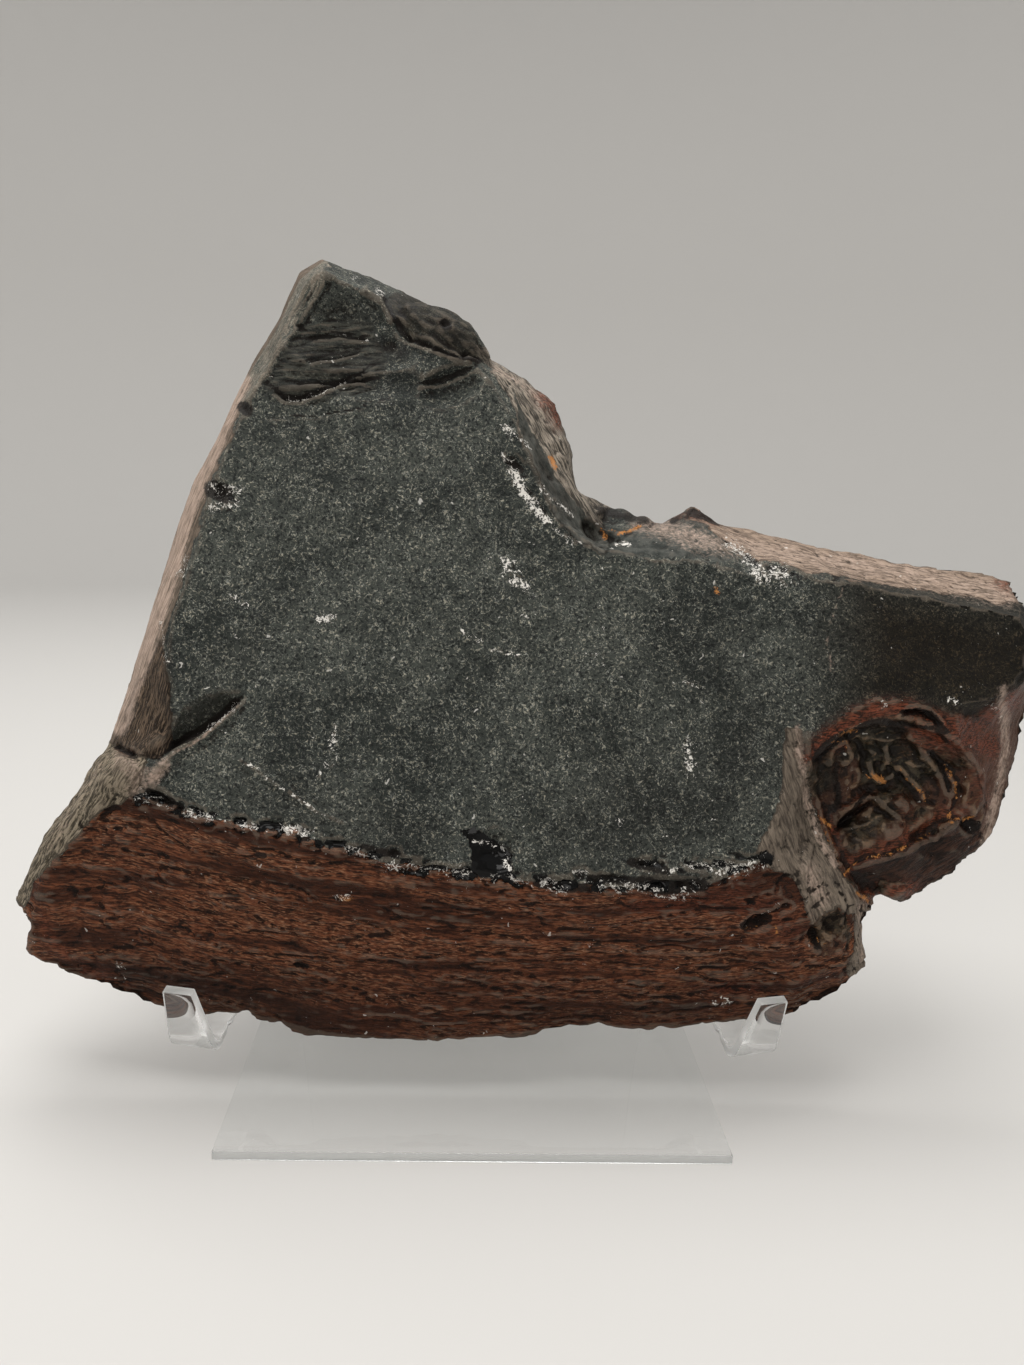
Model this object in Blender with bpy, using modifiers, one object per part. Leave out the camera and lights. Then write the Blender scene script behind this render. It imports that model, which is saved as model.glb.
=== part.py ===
"""Velvet obsidian: a rough slab of stone, held upright by a bent clear stand.

Metres, +Z up, +X to the right, +Y away from the viewer.
The origin is on the floor, at the middle of the stand's base plate.
"""

import math

import bmesh
import bpy
from mathutils import Matrix, Vector, noise

mm = 0.001

# stand, from its clear sheet
sheet_thickness = 2.4 * mm
base_width = 127 * mm
base_depth = 104 * mm
hook_inner = 66.5 * mm       # half the distance between the two hooks
hook_width = 12 * mm
hook_tip_width = 7.4 * mm
hook_tip_height = 37 * mm
hook_flare = math.radians(12)
ridge_height = 98 * mm
arch_height = 74 * mm

# stone, a slab that leans back on the stand
face_lean = math.radians(17)     # of its main face
back_lean = math.radians(18)     # of its back
face_depth = 17.3 * mm           # of its main face at face_height, behind the plate's front edge
face_height = 73 * mm
back_depth = 34.7 * mm           # of its back at back_height
back_height = 22.6 * mm
facets = 8000

# outlines in mm, x across and z up, each row one way out from the main face:
# on the main face, on the shoulder behind it, and on the widest rim
outline = [
    # peak and its right slope
    [(-47, 214), (-48, 220), (-51, 223)],
    [(-38, 210), (-38, 216), (-40, 219)],
    [(-26, 202), (-23, 209), (-20, 211)],
    [(-11, 195), (-8, 199), (-6, 200)],
    [(-2, 188), (2, 192), (8, 192)],
    [(5, 177), (12, 183), (17, 185)],
    [(11, 165), (18, 174), (21, 174)],
    [(18, 153), (22, 161), (24, 160)],
    # notch, then along the top of the right arm
    [(27, 147), (29, 151), (32, 157)],
    [(37, 146), (42, 152), (48, 153)],
    [(48, 146), (52, 153), (57, 157)],
    [(58, 144), (60, 152), (64, 153)],
    [(66, 142), (70, 148), (76, 151)],
    [(80, 143), (84, 145), (92, 149)],
    [(95, 141), (101, 141), (111, 146)],
    [(116, 138), (124, 138), (133, 144)],
    [(138, 135), (146, 135), (149, 141)],
    # right end
    [(141, 130), (150, 130), (156, 132)],
    [(139, 120), (150, 119), (158, 118)],
    [(132, 113), (145, 112), (153, 102)],
    # under the right arm, round the hollow
    [(120, 111), (137, 103), (148, 84)],
    [(106, 111), (127, 88), (142, 71)],
    [(92, 109), (112, 78), (130, 61)],
    [(80, 103), (98, 71), (117, 54)],
    [(75, 90), (91, 70), (110, 55)],
    [(71, 76), (98, 59), (106, 48)],
    [(66, 71), (95, 46), (106, 37)],
    [(59, 69), (84, 40), (98, 29)],
    # lower edge, right to left
    [(49, 67), (66, 43), (79, 22)],
    [(34, 66), (44, 43), (55, 22)],
    [(16, 66), (20, 42), (25, 20)],
    [(-1, 69), (0, 43), (1, 18)],
    [(-18, 71), (-21, 45), (-20, 17)],
    [(-38, 73), (-44, 47), (-41, 18)],
    [(-55, 77), (-64, 50), (-61, 23)],
    [(-68, 79), (-81, 53), (-78, 22)],
    [(-78, 83), (-95, 58), (-94, 26)],
    # lower left end
    [(-85, 85), (-103, 63), (-108, 32)],
    [(-88, 88), (-110, 62), (-118, 36)],
    [(-88, 91), (-110, 70), (-122, 50)],
    [(-84, 95), (-102, 81), (-114, 69)],
    # left side, back up to the peak
    [(-78, 100), (-93, 93), (-102, 88)],
    [(-80, 114), (-90, 110), (-96, 108)],
    [(-79, 127), (-87, 126), (-92, 124)],
    [(-74, 144), (-82, 146), (-87, 145)],
    [(-71, 160), (-78, 160), (-83, 159)],
    [(-66, 174), (-73, 174), (-76, 175)],
    [(-59, 189), (-65, 192), (-69, 192)],
    [(-53, 203), (-58, 206), (-62, 206)],
    [(-50, 210), (-54, 215), (-57, 219)],
]
section_depths = [0.0, 0.42, 0.8]   # of the three outlines, as parts of the slab's thickness
back_inset = 7 * mm                 # of the back's edge inside the rim

# what is broken out of the slab: centre and half sizes in mm, and its turn about Y in degrees.
# The second number is how far the centre is behind the main face.
scoops = [
    ((104, -3, 90), (25, 21, 20), -12),     # hollow under the arm
    ((121, 6, 84), (16, 14, 17), 25),
    ((92, 0, 86), (13, 16, 20), 10),
    ((126, 14, 70), (15, 9, 8), 35),
    ((88, -7, 66), (9, 12, 25), -24),       # hollowed facet beside it
    ((99, 5, 43), (5, 5, 7), 0),            # pit in the block below
    ((-38, -5, 202), (24, 10, 15), 8),      # shells broken from the peak
    ((-36, -7, 189), (27, 9, 8), 4),
    ((-12, -6, 188), (12, 9, 7), -25),
    ((29, 6, 153), (6, 9, 5), 20),          # corner between peak and arm
    ((-70, -1, 105), (13, 6, 5), -38),      # ledge at the left
    ((-84, 4, 104), (7, 6, 12), 20),
    ((3, -3, 75), (8, 6, 7), 20),           # glassy window at the foot of the face
    ((-122, 22, 44), (6, 14, 7), 30),       # notched left tip
    ((58, 2, 58), (7, 4, 3), 10),           # pit in the band
    ((50, 8, 34), (8, 4, 3), 0),
]
lumps = [
    ((-15, 11, 198), (15, 10, 8), 33),      # beside the peak
]


def face_y(z):
    """Depth of the main face's plane at the height z."""
    return face_depth + (z - face_height) * math.tan(face_lean)


def back_y(z):
    """Depth of the back's plane at the height z."""
    return back_depth + (z - back_height) * math.tan(back_lean)


def slab_point(x, z, part):
    """Point of the slab at a part of its thickness, 0 on the main face and 1 on the back."""
    y = face_y(z) * (1 - part) + back_y(z) * part
    return Vector((x, y - base_depth / 2, z))


def clear_scene():
    for item in list(bpy.data.objects):
        bpy.data.objects.remove(item, do_unlink=True)


def new_collection(name):
    collection = bpy.data.collections.new(name)
    bpy.context.scene.collection.children.link(collection)
    return collection


def add_mesh(name, bm, collection):
    mesh = bpy.data.meshes.new(name)
    bm.to_mesh(mesh)
    bm.free()
    item = bpy.data.objects.new(name, mesh)
    collection.objects.link(item)
    return item


def add_material(item, name, color, roughness, metallic=0.0, alpha=1.0):
    material = bpy.data.materials.new(name)
    material.use_nodes = True
    shader = material.node_tree.nodes["Principled BSDF"]
    shader.inputs["Base Color"].default_value = (*color, 1)
    shader.inputs["Roughness"].default_value = roughness
    shader.inputs["Metallic"].default_value = metallic
    shader.inputs["Alpha"].default_value = alpha
    item.data.materials.append(material)


def loft_slab(collection):
    """The slab: its outlines joined from the main face to the back, which is drawn in a little."""
    bm = bmesh.new()
    rings = []
    for index, part in enumerate(section_depths):
        ring = []
        for row in outline:
            x, z = row[index]
            ring.append(bm.verts.new(slab_point(x * mm, z * mm, part)))
        rings.append(ring)
    back = []
    for index, row in enumerate(outline):
        before = Vector(outline[index - 1][2])
        after = Vector(outline[(index + 1) % len(outline)][2])
        along = (after - before).normalized()
        inward = Vector((along.y, -along.x)) * back_inset
        x, z = Vector(row[2]) * mm + inward
        back.append(bm.verts.new(slab_point(x, z, 1.0)))
    rings.append(back)
    count = len(outline)
    for near, far in zip(rings, rings[1:]):
        for index in range(count):
            after = (index + 1) % count
            bm.faces.new((near[index], near[after], far[after], far[index]))
    bm.faces.new(list(reversed(rings[0])))
    bm.faces.new(rings[-1])
    bmesh.ops.triangulate(bm, faces=bm.faces[:])
    bmesh.ops.recalc_face_normals(bm, faces=bm.faces[:])
    return add_mesh("stone", bm, collection)


def add_ball(name, place, half, turn, collection):
    """A ball stretched to its half sizes, lying in the lean of the main face."""
    bm = bmesh.new()
    bmesh.ops.create_icosphere(bm, subdivisions=3, radius=1.0)
    x, behind, z = [value * mm for value in place]
    centre = slab_point(x, z, 0) + Vector((0, behind, 0))
    lean = Matrix.Rotation(-face_lean, 4, "X")
    spin = Matrix.Rotation(math.radians(turn), 4, "Y")
    size = Matrix.Diagonal([value * mm for value in half] + [1])
    bmesh.ops.transform(bm, matrix=Matrix.Translation(centre) @ lean @ spin @ size, verts=bm.verts[:])
    return add_mesh(name, bm, collection)


def carve(stone, collection):
    for name, pieces, operation in (("lump", lumps, "UNION"), ("scoop", scoops, "DIFFERENCE")):
        for number, (place, half, turn) in enumerate(pieces, 1):
            ball = add_ball(f"{name}_{number}", place, half, turn, collection)
            ball.hide_render = True
            ball.display_type = "WIRE"
            boolean = stone.modifiers.new(ball.name, "BOOLEAN")
            boolean.operation = operation
            boolean.object = ball


def evaluated_mesh(item):
    graph = bpy.context.evaluated_depsgraph_get()
    return bpy.data.meshes.new_from_object(item.evaluated_get(graph))


def roughness_at(point):
    """How far the broken surface stands out there, in metres."""
    broad = noise.noise(point * 28) * 2.2 * mm
    chips = noise.noise(point * 75 + Vector((3, 1, 7))) * 0.9 * mm
    grain = Vector((point.x * 30, point.y * 160, point.z * 160))
    height = point.z / mm
    depth = (point.y + base_depth / 2 - face_y(point.z)) / mm
    in_band = max(0.0, min(1.0, (74 - 0.06 * abs(point.x / mm + 10) - height) / 8))
    on_face = max(0.0, min(1.0, 1 - depth / 4)) * (1 - in_band)
    fibres = noise.noise(grain) * 1.3 * mm * in_band
    return (broad + chips) * (1 - 0.8 * on_face) + fibres


def roughen(mesh):
    """Break up the surface, except that nothing stands out of the back where the stand is."""
    normals = [vertex.normal.copy() for vertex in mesh.vertices]
    for vertex, normal in zip(mesh.vertices, normals):
        vertex.co += normal * roughness_at(vertex.co)
        if vertex.co.z < ridge_height + 10 * mm:
            rest = back_y(vertex.co.z) - base_depth / 2 - 0.5 * mm
            vertex.co.y = min(vertex.co.y, rest)


def make_stone(collection, cutters):
    stone = loft_slab(collection)
    carve(stone, cutters)
    remesh = stone.modifiers.new("remesh", "REMESH")
    remesh.mode = "VOXEL"
    remesh.voxel_size = 1.7 * mm
    carved = evaluated_mesh(stone)
    stone.modifiers.clear()
    stone.data = carved
    carved.name = "stone"
    roughen(carved)
    carved.calc_loop_triangles()
    decimate = stone.modifiers.new("decimate", "DECIMATE")
    decimate.ratio = facets / len(carved.loop_triangles)
    decimate.use_collapse_triangulate = True
    add_material(stone, "velvet_obsidian", (0.045, 0.052, 0.055), 0.55)
    return stone


def rounded_path(corners, steps=6):
    """A line through corners of (y, z, radius), each turned by an arc of its radius."""
    points = []
    for index, (y, z, radius) in enumerate(corners):
        here = Vector((y, z))
        if radius == 0:
            points.append(here)
            continue
        before = Vector(corners[index - 1][:2]) - here
        after = Vector(corners[index + 1][:2]) - here
        half = before.angle(after) / 2
        reach = radius / math.tan(half)
        start = here + before.normalized() * reach
        end = here + after.normalized() * reach
        centre = here + (before.normalized() + after.normalized()).normalized() * radius / math.sin(half)
        for step in range(steps + 1):
            way = start.lerp(end, step / steps) - centre
            points.append(centre + way.normalized() * radius)
    return points


def split_runs(points, longest):
    """The same line with its long straight runs cut into even steps."""
    line = [points[0]]
    for start, end in zip(points, points[1:]):
        count = max(1, math.ceil((end - start).length / longest))
        for step in range(1, count + 1):
            line.append(start.lerp(end, step / count))
    return line


def make_stand(collection):
    """Half of the sheet, laid along its bent side view, then mirrored and thickened."""
    half = sheet_thickness / 2
    panel_foot = back_y(15.2 * mm) + half + 0.5 * mm
    panel_top = back_y(ridge_height) + half + 0.5 * mm
    front = rounded_path([
        (13.2 * mm, hook_tip_height, 0),
        (21.4 * mm, 15.2 * mm, 4.5 * mm),
        (panel_foot, 15.2 * mm, 4.5 * mm),
        (panel_top, ridge_height, 5 * mm),
        (base_depth - half, half, 5 * mm),
        (0, half, 0),
    ])
    line = split_runs(front, 4 * mm)
    bm = bmesh.new()
    rows = []
    passed_ridge = False
    for point in line:
        y, z = point
        passed_ridge = passed_ridge or y > panel_top - 2 * mm
        in_hook = y < panel_foot - 2 * mm and not passed_ridge
        if passed_ridge:
            inner, outer = 0.0, base_width / 2
        elif in_hook:
            rise = max(0.0, (z - 17 * mm) / (hook_tip_height - 17 * mm))
            narrow = (hook_width - hook_tip_width) * rise
            inner = hook_inner + 2.6 * mm * rise + narrow * 0.3
            outer = hook_inner + hook_width + 1.2 * mm * rise - narrow * 0.4
        else:
            rise = max(0.0, (z - 15.2 * mm) / (arch_height - 15.2 * mm))
            inner = hook_inner * max(0.0, 1 - rise) ** 0.55
            outer = hook_inner + hook_width
            outer += (base_width / 2 - outer) * min(1.0, rise)
        turned = max(0.0, min(1.0, (panel_foot - 3 * mm - y) / (6 * mm))) if in_hook else 0.0
        row = []
        for x in (inner, outer):
            shift = (x - hook_inner - hook_width / 2) * math.tan(hook_flare) * turned
            row.append(bm.verts.new((x, y + shift - base_depth / 2, z)))
        rows.append(row)
    for near, far in zip(rows, rows[1:]):
        bm.faces.new((near[0], near[1], far[1], far[0]))
    stand = add_mesh("acrylic_stand", bm, collection)
    mirror = stand.modifiers.new("mirror", "MIRROR")
    mirror.merge_threshold = 0.00005
    solidify = stand.modifiers.new("thickness", "SOLIDIFY")
    solidify.thickness = sheet_thickness
    solidify.offset = 0
    solidify.use_even_offset = True
    add_material(stand, "clear_acrylic", (0.93, 0.93, 0.93), 0.05, alpha=0.25)
    return stand


clear_scene()
parts = new_collection("velvet_obsidian")
tools = new_collection("cutters")
make_stone(parts, tools)
make_stand(parts)
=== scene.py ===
import math

import bmesh
import bpy
import numpy as np
from mathutils import Matrix, Vector

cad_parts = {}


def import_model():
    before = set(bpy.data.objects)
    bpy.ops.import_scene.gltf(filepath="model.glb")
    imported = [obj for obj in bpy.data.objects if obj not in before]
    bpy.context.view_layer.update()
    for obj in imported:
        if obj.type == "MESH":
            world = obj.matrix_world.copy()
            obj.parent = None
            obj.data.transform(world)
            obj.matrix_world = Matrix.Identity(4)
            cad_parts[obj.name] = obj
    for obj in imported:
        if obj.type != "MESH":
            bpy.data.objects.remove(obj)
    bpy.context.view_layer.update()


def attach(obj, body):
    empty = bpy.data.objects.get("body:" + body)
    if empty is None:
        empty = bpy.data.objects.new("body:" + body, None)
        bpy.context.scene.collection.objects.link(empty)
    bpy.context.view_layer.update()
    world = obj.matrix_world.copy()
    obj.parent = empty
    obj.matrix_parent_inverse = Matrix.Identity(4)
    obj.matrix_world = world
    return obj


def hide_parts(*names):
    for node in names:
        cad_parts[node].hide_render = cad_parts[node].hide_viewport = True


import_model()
mm = 0.001

# the front view, the one that the surface marks of the stone are drawn in
frontView = {
    "place": (-7.1, -273.8, 164.2),    # mm
    "turn": 2.89, "tip": 11.36, "roll": -2.38,    # degrees
    "focal": 1025.0, "middle": (512.0, 682.5), "height": 1365,    # points of the view
    "sensor": 36, "nearest": 0.01,    # mm and m
}


def viewAxes(view):
    turn, tip, roll = (math.radians(view[key]) for key in ("turn", "tip", "roll"))
    ahead = Vector((math.sin(turn) * math.cos(tip), math.cos(turn) * math.cos(tip), -math.sin(tip)))
    right = Vector((math.cos(turn), -math.sin(turn), 0))
    down = ahead.cross(right)
    c, s = math.cos(roll), math.sin(roll)
    return c * right + s * down, -s * right + c * down, ahead


def addToScene(name, data):
    item = bpy.data.objects.new(name, data)
    bpy.context.scene.collection.objects.link(item)
    return item


def makeCamera(view):
    right, down, ahead = viewAxes(view)
    data = bpy.data.cameras.new("camera")
    data.sensor_width = view["sensor"]
    data.lens = view["focal"] * view["sensor"] / view["height"]
    data.clip_start = view["nearest"]
    camera = addToScene("camera", data)
    turned = Matrix((right, -down, -ahead)).transposed().to_4x4()
    camera.matrix_world = Matrix.Translation(Vector(view["place"]) * mm) @ turned
    bpy.context.scene.camera = camera


makeCamera(frontView)
print("camera placed")


# helpers for meshes

def meshObject(name, bm):
    mesh = bpy.data.meshes.new(name)
    bm.to_mesh(mesh)
    bm.free()
    return addToScene(name, mesh)


def applyModifiers(item):
    graph = bpy.context.evaluated_depsgraph_get()
    mesh = bpy.data.meshes.new_from_object(item.evaluated_get(graph))
    old = item.data
    item.modifiers.clear()
    item.data = mesh
    bpy.data.meshes.remove(old)
    mesh.name = item.name
    return mesh


def readVectors(mesh, kind):    # kind is "co" or "normal"
    flat = np.zeros(len(mesh.vertices) * 3, np.float32)
    mesh.vertices.foreach_get(kind, flat)
    return flat.reshape(-1, 3).astype(float)


def writePoints(mesh, points):
    mesh.vertices.foreach_set("co", (points * mm).astype(np.float32).ravel())
    mesh.update()


def storeValues(mesh, name, values):    # one number or one place for each point
    flat = values.ndim == 1
    layer = mesh.attributes.new(name, "FLOAT" if flat else "FLOAT_VECTOR", "POINT")
    layer.data.foreach_set("value" if flat else "vector", values.astype(np.float32).ravel())


def ease(value):
    value = np.clip(value, 0, 1)
    return value * value * (3 - 2 * value)


def hashed(x, y, z, seed):    # a whole number that looks random, the same each run
    n = (x * 73856093) ^ (y * 19349663) ^ (z * 83492791) ^ (seed * 15485863)
    n = ((n ^ (n >> 13)) * 1274126177) & 0x7FFFFFFF
    return ((n ^ (n >> 15)) * 668265263) & 0x7FFFFFFF


def waves(points, size, seed):    # smooth noise from about -1 to 1, with lumps of this size in mm
    grid = points / np.array(size, float)
    base = np.floor(grid).astype(np.int64)
    part = grid - base
    fade = part * part * part * (part * (part * 6 - 15) + 10)
    total = np.zeros(len(points))
    for corner in range(8):
        step = np.array([corner & 1, corner >> 1 & 1, corner >> 2 & 1])
        n = hashed(*(base + step).T, seed)
        slope = np.stack([(n & 1023), (n >> 10) & 1023, (n >> 20) & 1023], 1) / 511.5 - 1
        weight = np.prod(np.where(step == 1, fade, 1 - fade), axis=1)
        total += weight * (slope * (part - step)).sum(1)
    return total * 1.6


def layeredWaves(points, size, seed, layers=3, keep=0.5):
    size = np.array(size, float)
    total, part = 0, 1
    for layer in range(layers):
        total = total + part * waves(points, size, seed + layer * 17)
        size, part = size / 2.03, part * keep
    return total


def creases(points, size, seed, layers=2):    # 0 to 1, with sharp valleys where it is 0
    return np.abs(layeredWaves(points, size, seed, layers))


# distances in the front view

rightWay, downWay, aheadWay = (np.array(axis) for axis in viewAxes(frontView))


def seenAt(points):
    off = points - np.array(frontView["place"])
    deep = off @ aheadWay
    across, down = frontView["middle"]
    focal = frontView["focal"]
    return np.stack([across + focal * (off @ rightWay) / deep, down + focal * (off @ downWay) / deep], 1)


def corners(flat):    # x, y, x, y ... as points
    return np.reshape(flat, (-1, 2)).astype(float)


def lineDistance(seen, flat, reach):    # distance to a line, plus above it, and the part along it
    line = corners(flat)
    low, high = line.min(0) - reach, line.max(0) + reach
    near = np.flatnonzero(((seen > low) & (seen < high)).all(1))
    spot = seen[near]
    lengths = np.hypot(*(line[1:] - line[:-1]).T)
    done, whole = 0.0, lengths.sum()
    distance = np.full(len(near), 1e6)
    along = np.zeros(len(near))
    for start, end, length in zip(line, line[1:], lengths):
        way = end - start
        part = np.clip(((spot - start) @ way) / (length * length), 0, 1)
        off = spot - (start + part[:, None] * way)
        far = np.hypot(off[:, 0], off[:, 1])
        side = np.where(way[0] * off[:, 1] - way[1] * off[:, 0] > 0, -1, 1)
        closer = far < np.abs(distance)
        distance = np.where(closer, side * far, distance)
        along = np.where(closer, (done + part * length) / whole, along)
        done += length
    return near, distance, along


def insideDistance(seen, flat):    # distance to a closed outline, plus inside it
    outline = corners(flat)
    inside = np.zeros(len(seen), bool)
    far = np.full(len(seen), 1e6)
    for start, end in zip(outline, np.roll(outline, -1, 0)):
        way = end - start
        part = np.clip(((seen - start) @ way) / (way @ way), 0, 1)
        off = seen - (start + part[:, None] * way)
        far = np.minimum(far, np.hypot(off[:, 0], off[:, 1]))
        crosses = (start[1] > seen[:, 1]) != (end[1] > seen[:, 1])
        if start[1] != end[1]:
            meet = start[0] + (seen[:, 1] - start[1]) * way[0] / way[1]
            inside ^= crosses & (seen[:, 0] < meet)
    return np.where(inside, far, -far)


# the stone: shape

stoneShape = {
    "faceLean": 17.0, "backLean": 18.0,    # degrees
    "faceDepth": 17.3, "faceHeight": 73.0,    # mm, of the main face, behind the plate's front edge
    "backDepth": 34.7, "backHeight": 22.6,
    "plateDepth": 104.0, "ridgeHeight": 98.0,
    "sections": (0.0, 0.42, 0.8), "backInset": 7.0,
    "voxel": 0.8, "triangles": 188000,
    "thinFront": 0.3, "thinBack": 0.7, "thinSteps": 8, "thinFactor": 1.5,    # how readily points are taken out
    # outlines in mm, x across and z up: on the main face, on the shoulder behind it, on the rim
    "outline": [
        (-47, 214, -48, 220, -51, 223), (-38, 210, -38, 216, -40, 219), (-26, 202, -23, 209, -20, 211),
        (-11, 195, -8, 199, -6, 200), (-2, 188, 2, 192, 8, 192), (5, 177, 12, 183, 17, 185),
        (11, 165, 18, 174, 21, 174), (18, 153, 22, 161, 24, 160), (27, 147, 29, 151, 32, 157),
        (37, 146, 42, 152, 48, 153), (48, 146, 52, 153, 57, 157), (58, 144, 60, 152, 64, 153),
        (66, 142, 70, 148, 76, 151), (80, 143, 84, 145, 92, 149), (95, 141, 101, 141, 111, 146),
        (116, 138, 124, 138, 133, 144), (138, 135, 146, 135, 149, 141), (141, 130, 150, 130, 156, 132),
        (139, 120, 150, 119, 158, 118), (132, 113, 145, 112, 153, 102), (120, 111, 137, 103, 148, 84),
        (106, 111, 127, 88, 142, 71), (92, 109, 112, 78, 130, 61), (80, 103, 98, 71, 117, 54),
        (75, 90, 91, 70, 110, 55), (71, 76, 98, 59, 106, 48), (66, 71, 95, 46, 106, 37), (59, 69, 84, 40, 98, 29),
        (49, 67, 66, 43, 79, 22), (34, 66, 44, 43, 55, 22), (16, 66, 20, 42, 25, 20), (-1, 69, 0, 43, 1, 18),
        (-18, 71, -21, 45, -20, 17), (-38, 73, -44, 47, -41, 18), (-55, 77, -64, 50, -61, 23),
        (-68, 79, -81, 53, -78, 22), (-78, 83, -95, 58, -94, 26), (-85, 85, -103, 63, -108, 32),
        (-88, 88, -110, 62, -118, 36), (-88, 91, -110, 70, -122, 50), (-84, 95, -102, 81, -114, 69),
        (-78, 100, -93, 93, -102, 88), (-80, 114, -90, 110, -96, 108), (-79, 127, -87, 126, -92, 124),
        (-74, 144, -82, 146, -87, 145), (-71, 160, -78, 160, -83, 159), (-66, 174, -73, 174, -76, 175),
        (-59, 189, -65, 192, -69, 192), (-53, 203, -58, 206, -62, 206), (-50, 210, -54, 215, -57, 219),
    ],
    # balls taken out of the slab: x, distance behind the main face and z, half sizes, turn in degrees
    "scoops": [
        ((104, -3, 90), (25, 21, 20), -12), ((121, 6, 84), (16, 14, 17), 25),
        ((92, 0, 86), (13, 16, 20), 10), ((126, 14, 70), (15, 9, 8), 35),
        ((88, -7, 66), (9, 12, 25), -24), ((99, 5, 43), (5, 5, 7), 0),
        ((-38, -5, 202), (24, 10, 15), 8), ((-36, -7, 189), (27, 9, 8), 4),
        ((-12, -6, 188), (12, 9, 7), -25), ((29, 6, 153), (6, 9, 5), 20),
        ((3, -3, 75), (7, 5, 6), 20), ((-122, 22, 44), (6, 14, 7), 30),
        ((58, 2, 58), (7, 4, 3), 10), ((50, 8, 34), (8, 4, 3), 0),
    ],
    "lumps": [((-15, 11, 198), (15, 10, 8), 33)],
}


def faceDepthAt(z):
    rise = math.tan(math.radians(stoneShape["faceLean"]))
    return stoneShape["faceDepth"] + (z - stoneShape["faceHeight"]) * rise - stoneShape["plateDepth"] / 2


def backDepthAt(z):
    rise = math.tan(math.radians(stoneShape["backLean"]))
    return stoneShape["backDepth"] + (z - stoneShape["backHeight"]) * rise - stoneShape["plateDepth"] / 2


def slabPoint(x, z, part):
    return Vector((x, faceDepthAt(z) * (1 - part) + backDepthAt(z) * part, z)) * mm


def slabMesh():
    outline = [corners(row) for row in stoneShape["outline"]]
    bm = bmesh.new()
    rings = []
    for index, part in enumerate(stoneShape["sections"]):
        rings.append([bm.verts.new(slabPoint(*row[index], part)) for row in outline])
    back = []
    for index, row in enumerate(outline):
        along = Vector(outline[(index + 1) % len(outline)][2]) - Vector(outline[index - 1][2])
        along.normalize()
        x, z = Vector(row[2]) + Vector((along.y, -along.x)) * stoneShape["backInset"]
        back.append(bm.verts.new(slabPoint(x, z, 1.0)))
    rings.append(back)
    for near, far in zip(rings, rings[1:]):
        for index in range(len(outline)):
            after = (index + 1) % len(outline)
            bm.faces.new((near[index], near[after], far[after], far[index]))
    bm.faces.new(list(reversed(rings[0])))
    bm.faces.new(rings[-1])
    bmesh.ops.triangulate(bm, faces=bm.faces[:])
    bmesh.ops.recalc_face_normals(bm, faces=bm.faces[:])
    return bm


def stretchedBall(name, place, half, turn):
    bm = bmesh.new()
    bmesh.ops.create_icosphere(bm, subdivisions=4, radius=1.0)
    x, behind, z = place
    centre = slabPoint(x, z, 0) + Vector((0, behind * mm, 0))
    lean = Matrix.Rotation(-math.radians(stoneShape["faceLean"]), 4, "X")
    spin = Matrix.Rotation(math.radians(turn), 4, "Y")
    size = Matrix.Diagonal([value * mm for value in half] + [1])
    bmesh.ops.transform(bm, matrix=Matrix.Translation(centre) @ lean @ spin @ size, verts=bm.verts[:])
    return meshObject(name, bm)


def roughStone():
    stone = meshObject("velvetStone", slabMesh())
    balls = []
    for key, operation in (("lumps", "UNION"), ("scoops", "DIFFERENCE")):
        for place, half, turn in stoneShape[key]:
            ball = stretchedBall("ball", place, half, turn)
            boolean = stone.modifiers.new("carve", "BOOLEAN")
            boolean.operation = operation
            boolean.object = ball
            balls.append(ball)
    remesh = stone.modifiers.new("remesh", "REMESH")
    remesh.mode = "VOXEL"
    remesh.voxel_size = stoneShape["voxel"] * mm
    applyModifiers(stone)
    for ball in balls:
        bpy.data.objects.remove(ball)
    return stone


# the stone: what is seen where, as x, y, x, y ... in points of the front view

# where the face ends above the band
faceEnd = [
    135, 795, 165, 800, 185, 811, 211, 818, 245, 822, 262, 827, 297, 830, 314, 841, 359, 849, 390, 864, 417, 866,
    438, 870, 464, 873, 516, 879, 537, 881, 590, 885, 643, 892, 702, 890, 740, 870, 765, 860,
]

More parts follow.
